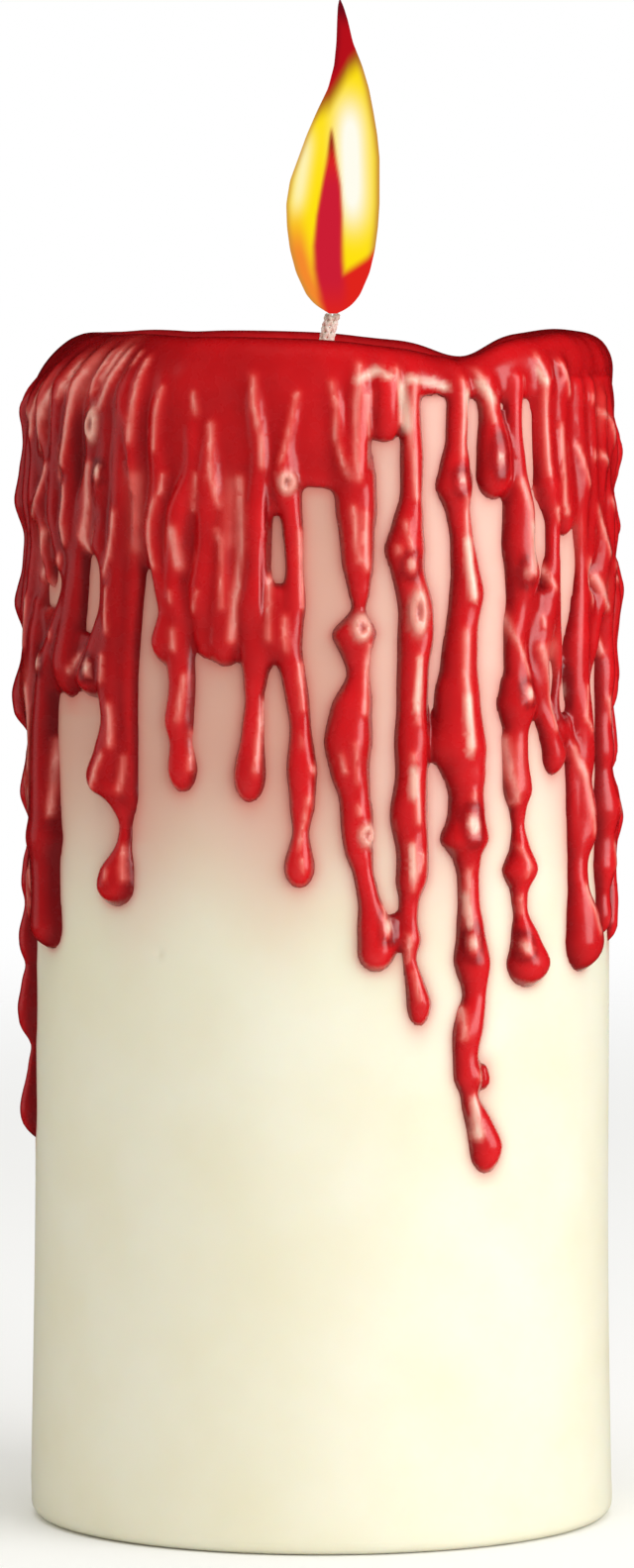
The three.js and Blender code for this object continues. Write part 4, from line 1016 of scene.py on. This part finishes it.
pale_highlight_amount = add_node(tree, "ShaderNodeMath", {"operation": "MULTIPLY"}, {
    0: pale_runs, 1: cloudy.outputs["Result"]})
streaked = add_node(tree, "ShaderNodeMix", {"data_type": "RGBA"}, {
    "Factor": pale_highlight_amount.outputs[0], "A": dyed.outputs["Result"], "B": pale_ramp.outputs["Color"]})
spotted = add_node(tree, "ShaderNodeMix", {"data_type": "RGBA"}, {
    "Factor": glint_amount, "A": streaked.outputs["Result"], "B": linear("#FFE6CE")})
bloom = add_node(tree, "ShaderNodeTexNoise", inputs={"Vector": place, "Scale": 1 / 0.0022, "Detail": 3.0})
gloss = add_node(tree, "ShaderNodeMapRange", inputs={
    "Value": bloom.outputs["Fac"], "From Min": 0.3, "From Max": 0.75, "To Min": 0.2, "To Max": 0.36})
dulling = add_node(tree, "ShaderNodeMapRange", inputs={"Value": wetness, "To Min": 0.3, "To Max": 0.0})
roughness = add_node(tree, "ShaderNodeMath", {"operation": "ADD"}, {
    0: gloss.outputs["Result"], 1: dulling.outputs["Result"]})
relief = add_node(tree, "ShaderNodeBump", inputs={
    "Height": bloom.outputs["Fac"], "Strength": 0.3, "Distance": 0.00012})
surface = add_node(tree, "ShaderNodeBsdfPrincipled", inputs={
    "Base Color": spotted.outputs["Result"], "Roughness": roughness.outputs[0], "IOR": 1.45,
    "Subsurface Weight": 0.3, "Subsurface Radius": (1.0, 0.12, 0.1), "Subsurface Scale": 0.002,
    "Specular IOR Level": 0.3, "Normal": relief.outputs["Normal"],
    "Coat Weight": wetness, "Coat Roughness": 0.22, "Coat IOR": 1.48})
tree.links.new(surface.outputs["BSDF"], output.inputs["Surface"])

# The skin is thinned, most of all where it is buried in the body, then takes its shading from the
# field itself.
skin = mesh_piece("red_wax_skin", skin_points, skin_quads.tolist(), red_paraffin)
thinning = skin.modifiers.new("thinning", "DECIMATE")
thinning.ratio = RED_TRIANGLES / (2 * len(skin_quads))
buried = np.hypot(skin_points[:, 0], skin_points[:, 1]) < BODY_RADIUS - 0.2
buried &= skin_points[:, 2] < POOL_HEIGHT - 0.5
expendable = skin.vertex_groups.new(name="expendable")
expendable.add(np.nonzero(~buried)[0].tolist(), 0.8, "REPLACE")
expendable.add(np.nonzero(buried)[0].tolist(), 1.0, "REPLACE")
thinning.vertex_group = "expendable"
thinning.vertex_group_factor = 1e-4
red_wax = made_plain(skin, "poured_red_wax")
red_points = np.empty(len(red_wax.data.vertices) * 3)
red_wax.data.vertices.foreach_get("co", red_points)
red_points = red_points.reshape(-1, 3) / MM
red_normals = field_normals(red_field, red_points)
red_wax.data.shade_smooth()
red_wax.data.normals_split_custom_set_from_vertices(red_normals.tolist())


def paint(piece, name, values):
    """Gives the piece's mesh an attribute of a value from 0 to 1 at each point, for its material."""
    attribute = piece.data.attributes.new(name, "FLOAT", "POINT")
    attribute.data.foreach_set("value", np.clip(values, 0, 1).astype(np.float32))


# Painted light and shade: ridges are painted lighter and grooves darker, partly because light passes
# through the thin wax of a ridge and partly as painted shade in the grooves, and a drip's flanks, which
# stand steeply off the wall or the shoulder under it, are painted darkest as painted shade. The middles
# of the ringed beads, the top of the rim and the candle's left side are painted darker too, as painted
# shade.
red_x, red_y, red_z = red_points.T
red_bearing, red_reach = bearing_and_reach(red_x, red_y)
rounding = shoulder_radius(red_x)
lean_out = np.maximum(red_reach - (COAT_RADIUS - rounding), 0)
lean_up = red_z - (crest_height(red_x, red_y) - rounding)
lean_up = np.where(lean_out > 0, np.maximum(lean_up, 0), 1.0)
lean = np.maximum(np.hypot(lean_out, lean_up), 1e-6)
outward = red_points[:, :2] / np.maximum(red_reach, 1e-6)[:, None]
facing = (red_normals[:, :2] * outward).sum(axis=1) * lean_out / lean + red_normals[:, 2] * lean_up / lean
ridge_light_and_shade = 0.62 + 1.6 * (0.5 - sample(surroundings, red_points))
ridge_light_and_shade -= 0.55 * smooth_step(facing, 0.88, -0.6)
ridge_light_and_shade -= 0.5 * sample(painted_shade_marks, red_points)
ridge_light_and_shade -= 0.15 * smooth_step(red_z, 150.0, 5.0)
ridge_light_and_shade -= 0.34 * smooth_step(-red_bearing, 22, 30) * smooth_step(red_bearing, -170, 60)
paint(red_wax, "painted_light_and_shade", ridge_light_and_shade)
# Painted highlights: pale streaks along the late runs, pale rings and pale patches.
paint(red_wax, "paleness", 0.95 * sample(paleness, red_points))
# Painted glints: cream spots, streaks and rings.
paint(red_wax, "cream", 0.95 * sample(cream, red_points))
paint(red_wax, "wetness", 1 - 0.85 * smooth_step(red_reach, 32.0, -5.0) * (red_z > 147))
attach(red_wax, "root")
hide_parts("red_wax")

# The ivory body's two tints: the creep of red dye close along the drips, and a wide warm blush,
# which fades out downwards, and sooner at one place on the right.
OFF_WALL = 0.4  # where the creep is read, just outside the wall
wall_points = body_points.copy()
wall_bearing, wall_reach = bearing_and_reach(wall_points[:, 0], wall_points[:, 1])
wall_points[:, :2] *= (1 + OFF_WALL / np.maximum(wall_reach, 1))[:, None]
creep = np.exp(-(np.maximum(sample(red_field, wall_points), 0) / 0.6) ** 1.5)
creep *= (wall_reach > 30) & (wall_points[:, 2] > GRID_FOOT)
fade_height = 73.0 + 12.0 * np.exp(-((wall_bearing - 46.0) / 9.0) ** 2) + 2.5 * np.sin(wall_bearing / 5.0)
blush = smooth_step(wall_points[:, 2], fade_height, 30.0) * (wall_reach > 30)
blush *= 0.85 - 0.15 * smooth_step(wall_bearing / 15.0)
paint(ivory_body, "stain", blush)
paint(ivory_body, "creep", 0.6 * creep)


# ---------------------------------------------------------------------------------------------------
# The flame. Burning wax vapour, still, drawn out to a tip that bends over: white-hot right of its
# middle, yellow round that, orange on its lower left, with a red heart over the wick and a dark red tip.
# It stands as one rounded solid, a little flattened, whose colours run through it from front to back.

flame_low, flame_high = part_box("flame")
FLAME_BASE = flame_low.z / MM - 0.5
FLAME_TIP = flame_high.z / MM
FLAME_FOOT = 2.0  # the rings stand closer here, where the outline opens fast
FLAME_COLUMNS = 120
POINT_BREADTH = 0.02
# The flame's outline: (height, left edge, right edge).
FLAME_OUTLINE = [
    (FLAME_BASE, 1.0, 1.9), (159.6, 0.2, 3.0), (160.3, -0.9, 4.0), (161.5, -2.0, 5.0), (164.5, -3.4, 6.3),
    (167.5, -4.2, 7.0), (170.5, -4.6, 7.4), (173.5, -4.7, 7.6), (176.6, -4.2, 7.6), (179.6, -3.1, 7.6),
    (182.6, -2.0, 7.3), (185.6, -0.7, 6.8), (188.7, 0.8, 6.2), (191.7, 1.6, 5.3), (194.7, 1.9, 4.1),
    (197.7, 2.0, 3.4), (199.6, 2.1, 2.8), (FLAME_TIP, 2.3, 2.4),
]
FLAME_DEPTH = 0.9  # over its width
outline_heights, outline_left, outline_right = np.array(FLAME_OUTLINE).T
ring_heights = np.concatenate([FLAME_BASE + FLAME_FOOT * np.linspace(0, 1, 20) ** 2,
                               np.linspace(FLAME_BASE + FLAME_FOOT, FLAME_TIP, 230)[1:]])
flame_left = softened(np.interp(ring_heights, outline_heights, outline_left), 4)
flame_right = softened(np.interp(ring_heights, outline_heights, outline_right), 4)
flame_turns = np.linspace(0, 2 * math.pi, FLAME_COLUMNS, endpoint=False)
spine = 0.5 * (flame_left + flame_right)
breadth = 0.5 * (flame_right - flame_left)
breadth[0] = breadth[-1] = POINT_BREADTH
flame_points = np.array([
    (middle + half * math.sin(t), -FLAME_DEPTH * half * math.cos(t), level)
    for middle, half, level in zip(spine, breadth, ring_heights) for t in flame_turns])
flame_faces = []
for row in range(0, len(flame_points) - FLAME_COLUMNS, FLAME_COLUMNS):
    for column in range(FLAME_COLUMNS):
        beside = (column + 1) % FLAME_COLUMNS
        flame_faces.append((row + column, row + beside,
                            row + FLAME_COLUMNS + beside, row + FLAME_COLUMNS + column))
flame_faces.append(tuple(range(FLAME_COLUMNS))[::-1])
flame_faces.append(tuple(range(len(flame_points) - FLAME_COLUMNS, len(flame_points))))


def band(value, low, high, blur):
    """1 between two limits, falling to 0 outside them over a blur."""
    return smooth_step((value - low) / blur + 0.5) * smooth_step((high - value) / blur + 0.5)


# Where each tint lies, from 0 to 1: white in the hottest part, pale along the left, ember low on the
# left and a brown rim; a red heart that joins a red bowl at the foot, deep in its middle and shaded at
# its upper end; and scorch where the yellow meets the slanting red tip, which soot darkens.
flame_x, flame_z = flame_points[:, 0], flame_points[:, 2]
row_left = np.repeat(flame_left, FLAME_COLUMNS)
row_right = np.repeat(flame_right, FLAME_COLUMNS)
heart_left = np.interp(flame_z, [158, 161, 165, 168, 172, 176, 180, 183.2],
                       [0.6, -0.2, -0.9, -1.0, -0.6, 0.1, 0.75, 1.2])
heart_right = np.interp(flame_z, [158, 161, 164.3, 166, 168, 172, 176, 180, 183.2],
                        [5.0, 4.4, 2.9, 2.7, 2.65, 2.65, 2.4, 1.8, 1.3])
bowl_top = np.interp(flame_x, [1.0, 2.7, 4.0, 6.2, 7.5], [163.6, 164.4, 165.2, 166.6, 168.0])
softness = np.interp(flame_z, [158, 166, 172, 184], [1.6, 1.3, 0.8, 0.6])
heart = band(flame_x, heart_left, heart_right, softness) * band(flame_z, 150, 183.4, 1.0)
bowl = smooth_step((bowl_top - flame_z) / 1.6 + 0.5) * smooth_step((flame_x - 0.5) / 0.8 + 0.5)
left_rim = np.exp(-((flame_x - row_left) / 0.5) ** 2)
right_rim = np.exp(-((row_right - flame_x) / 0.6) ** 2)
white_x, white_z = (flame_x - 3.85 + 0.03 * (flame_z - 179)) / 1.75, (flame_z - 178.8) / 7.6
pale_x, pale_z = flame_x + 2.7 - 0.16 * (flame_z - 177), (flame_z - 177.5) / 5.0
tip_edge = np.interp(flame_x, [-1, 1.0, 2.2, 3.4, 4.6, 6], [186.5, 187.6, 189.6, 191.8, 193.0, 194.0])
flame_fields = {
    "white": 1.25 * np.exp(-white_x ** 2 - white_z ** 4),
    "pale": 0.75 * np.exp(-pale_x ** 2 - pale_z ** 4),
    "ember": smooth_step(flame_x, row_left + 3.4, -2.2) * smooth_step(flame_z, 174.5, -8.0),
    "rim": np.maximum(right_rim, 0.8 * left_rim),
    "heart": np.maximum(heart, bowl),
    "deep": heart * band(flame_z, 161, 178, 6.0) * smooth_step(flame_x, 4.0, -2.0),
    "shade": 0.9 * heart * smooth_step(flame_z, 178.5, 4.0),
    "scorch": smooth_step((flame_z - tip_edge) / 3.6 + 0.85),
    "tip": smooth_step((flame_z - tip_edge) / 2.2 + 0.3),
    "soot": np.maximum(0.8 * smooth_step(flame_z, 196.0, 3.5),
                       0.5 * smooth_step(flame_z, 190, 2) * left_rim),
}
FLAME_TINTS = {
    "white": "#FFFDEE", "pale": "#FFF8C8", "ember": "#F58A2E", "rim": "#C98F3C", "heart": "#E0241C",
    "deep": "#CC1E34", "shade": "#6E1A14", "scorch": "#A8641C", "tip": "#B5101A", "soot": "#4A0A18",
}

# Luminous gas: it gives light and takes none, so its colours are emission, set by place in the flame.
flame_light, tree, output = new_material("luminous flame")
mixed = linear("#FFE110")
for name, tint in FLAME_TINTS.items():
    amount = add_node(tree, "ShaderNodeAttribute", {"attribute_name": name})
    mixed = add_node(tree, "ShaderNodeMix", {"data_type": "RGBA"}, {
        "Factor": amount.outputs["Fac"], "A": mixed, "B": linear(tint)}).outputs["Result"]
glow = add_node(tree, "ShaderNodeEmission", inputs={"Color": mixed, "Strength": 1.0})
tree.links.new(glow.outputs["Emission"], output.inputs["Surface"])

flame = mesh_piece("candle_flame", flame_points, flame_faces, flame_light)
for name, values in flame_fields.items():
    paint(flame, name, values)
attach(flame, "root")
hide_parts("flame")
flame.visible_glossy = False
flame.visible_diffuse = False


# ---------------------------------------------------------------------------------------------------
# The studio. A white table that melts into a white room, a broad soft box right of the camera, a faint
# warm one on the left and one overhead, and at each side a window that shows only in the wax's gloss.

TABLE_RADIUS = 900.0
TABLE_FADE = 350.0
TABLE_SIDES = 96
table_points = [(TABLE_RADIUS * math.sin(t), TABLE_RADIUS * math.cos(t), 0.0)
                for t in np.linspace(0, 2 * math.pi, TABLE_SIDES, endpoint=False)]
white_table, tree, output = new_material("white table")
place = add_node(tree, "ShaderNodeTexCoord").outputs["Object"]
reach = add_node(tree, "ShaderNodeVectorMath", {"operation": "LENGTH"}, {"Vector": place})
fade = add_node(tree, "ShaderNodeMapRange", {"interpolation_type": "SMOOTHSTEP"}, {
    "Value": reach.outputs["Value"], "From Min": TABLE_FADE * MM, "From Max": TABLE_RADIUS * MM})
surface = add_node(tree, "ShaderNodeBsdfDiffuse", inputs={"Color": linear("#FAFAF8")})
clear = add_node(tree, "ShaderNodeBsdfTransparent")
faded = add_node(tree, "ShaderNodeMixShader", inputs={"Fac": fade.outputs["Result"]})
tree.links.new(surface.outputs["BSDF"], faded.inputs[1])
tree.links.new(clear.outputs["BSDF"], faded.inputs[2])
tree.links.new(faded.outputs["Shader"], output.inputs["Surface"])
table = mesh_piece("white_table", table_points, [tuple(range(TABLE_SIDES))[::-1]], white_table)
table.visible_glossy = False

# The room is seen white, but lights the candle only dimly, and the wax's gloss shows the lamps alone.
room = bpy.data.worlds.new("white room")
scene.world = room
room.use_nodes = True
room.cycles_visibility.glossy = False
backdrop = room.node_tree.nodes["Background"]
backdrop.inputs["Color"].default_value = linear("#FFFFFF")
seen = add_node(room.node_tree, "ShaderNodeLightPath")
room_light = add_node(room.node_tree, "ShaderNodeMapRange", inputs={
    "Value": seen.outputs["Is Camera Ray"], "To Min": 0.55, "To Max": 1.0})
room.node_tree.links.new(room_light.outputs["Result"], backdrop.inputs["Strength"])


def soft_box(name, bearing, height, distance, width, tall, power):
    """A rectangular area light, by its bearing from the front and sizes in metres, facing the wax."""
    light = bpy.data.lights.new(name, "AREA")
    light.shape = "RECTANGLE"
    light.size, light.size_y = width, tall
    light.energy = power
    holder = bpy.data.objects.new(name, light)
    turn = math.radians(bearing)
    holder.location = (distance * math.sin(turn), -distance * math.cos(turn), height)
    facing = Vector((0, 0, LIT_HEIGHT)) - holder.location
    holder.rotation_euler = facing.to_track_quat("-Z", "Y").to_euler()
    scene.collection.objects.link(holder)
    return holder


# The key, the left fill and the top light model the shapes; the two windows draw the gloss.
LIT_HEIGHT = 0.1
soft_box("key", 50, 0.7, 1.6, 1.6, 1.6, 20).visible_glossy = False
left_fill = soft_box("left fill", -95, 0.4, 1.5, 1.2, 1.2, 1.3)
left_fill.visible_glossy = False
left_fill.data.color = linear("#FFE9A0")[:3]
soft_box("top light", 10, 1.3, 0.1, 0.8, 0.8, 5).visible_glossy = False
soft_box("right window", 62, 0.4, 1.25, 0.8, 1.1, 7.5).visible_diffuse = False
soft_box("left window", -105, 0.4, 1.2, 0.9, 1.2, 0.75).visible_diffuse = False

# The camera stands a little above the candle's top and looks slightly down at its middle.
CAMERA_DISTANCE = 1096.9
CAMERA_HEIGHT = 171.8
AIM_HEIGHT = 96.94
SIDE_STEP = -0.64
FRAME_HEIGHT = 207.55  # what the upright view takes in at the candle's axis
SENSOR = 36.0
camera_data = bpy.data.cameras.new("camera")
camera_data.sensor_width = SENSOR
sight = math.hypot(CAMERA_DISTANCE, CAMERA_HEIGHT - AIM_HEIGHT)
camera_data.lens = SENSOR * sight / FRAME_HEIGHT
camera = bpy.data.objects.new("camera", camera_data)
camera.location = (SIDE_STEP * MM, -CAMERA_DISTANCE * MM, CAMERA_HEIGHT * MM)
camera.rotation_euler = (math.pi / 2 - math.atan2(CAMERA_HEIGHT - AIM_HEIGHT, CAMERA_DISTANCE), 0, 0)
scene.collection.objects.link(camera)
scene.camera = camera
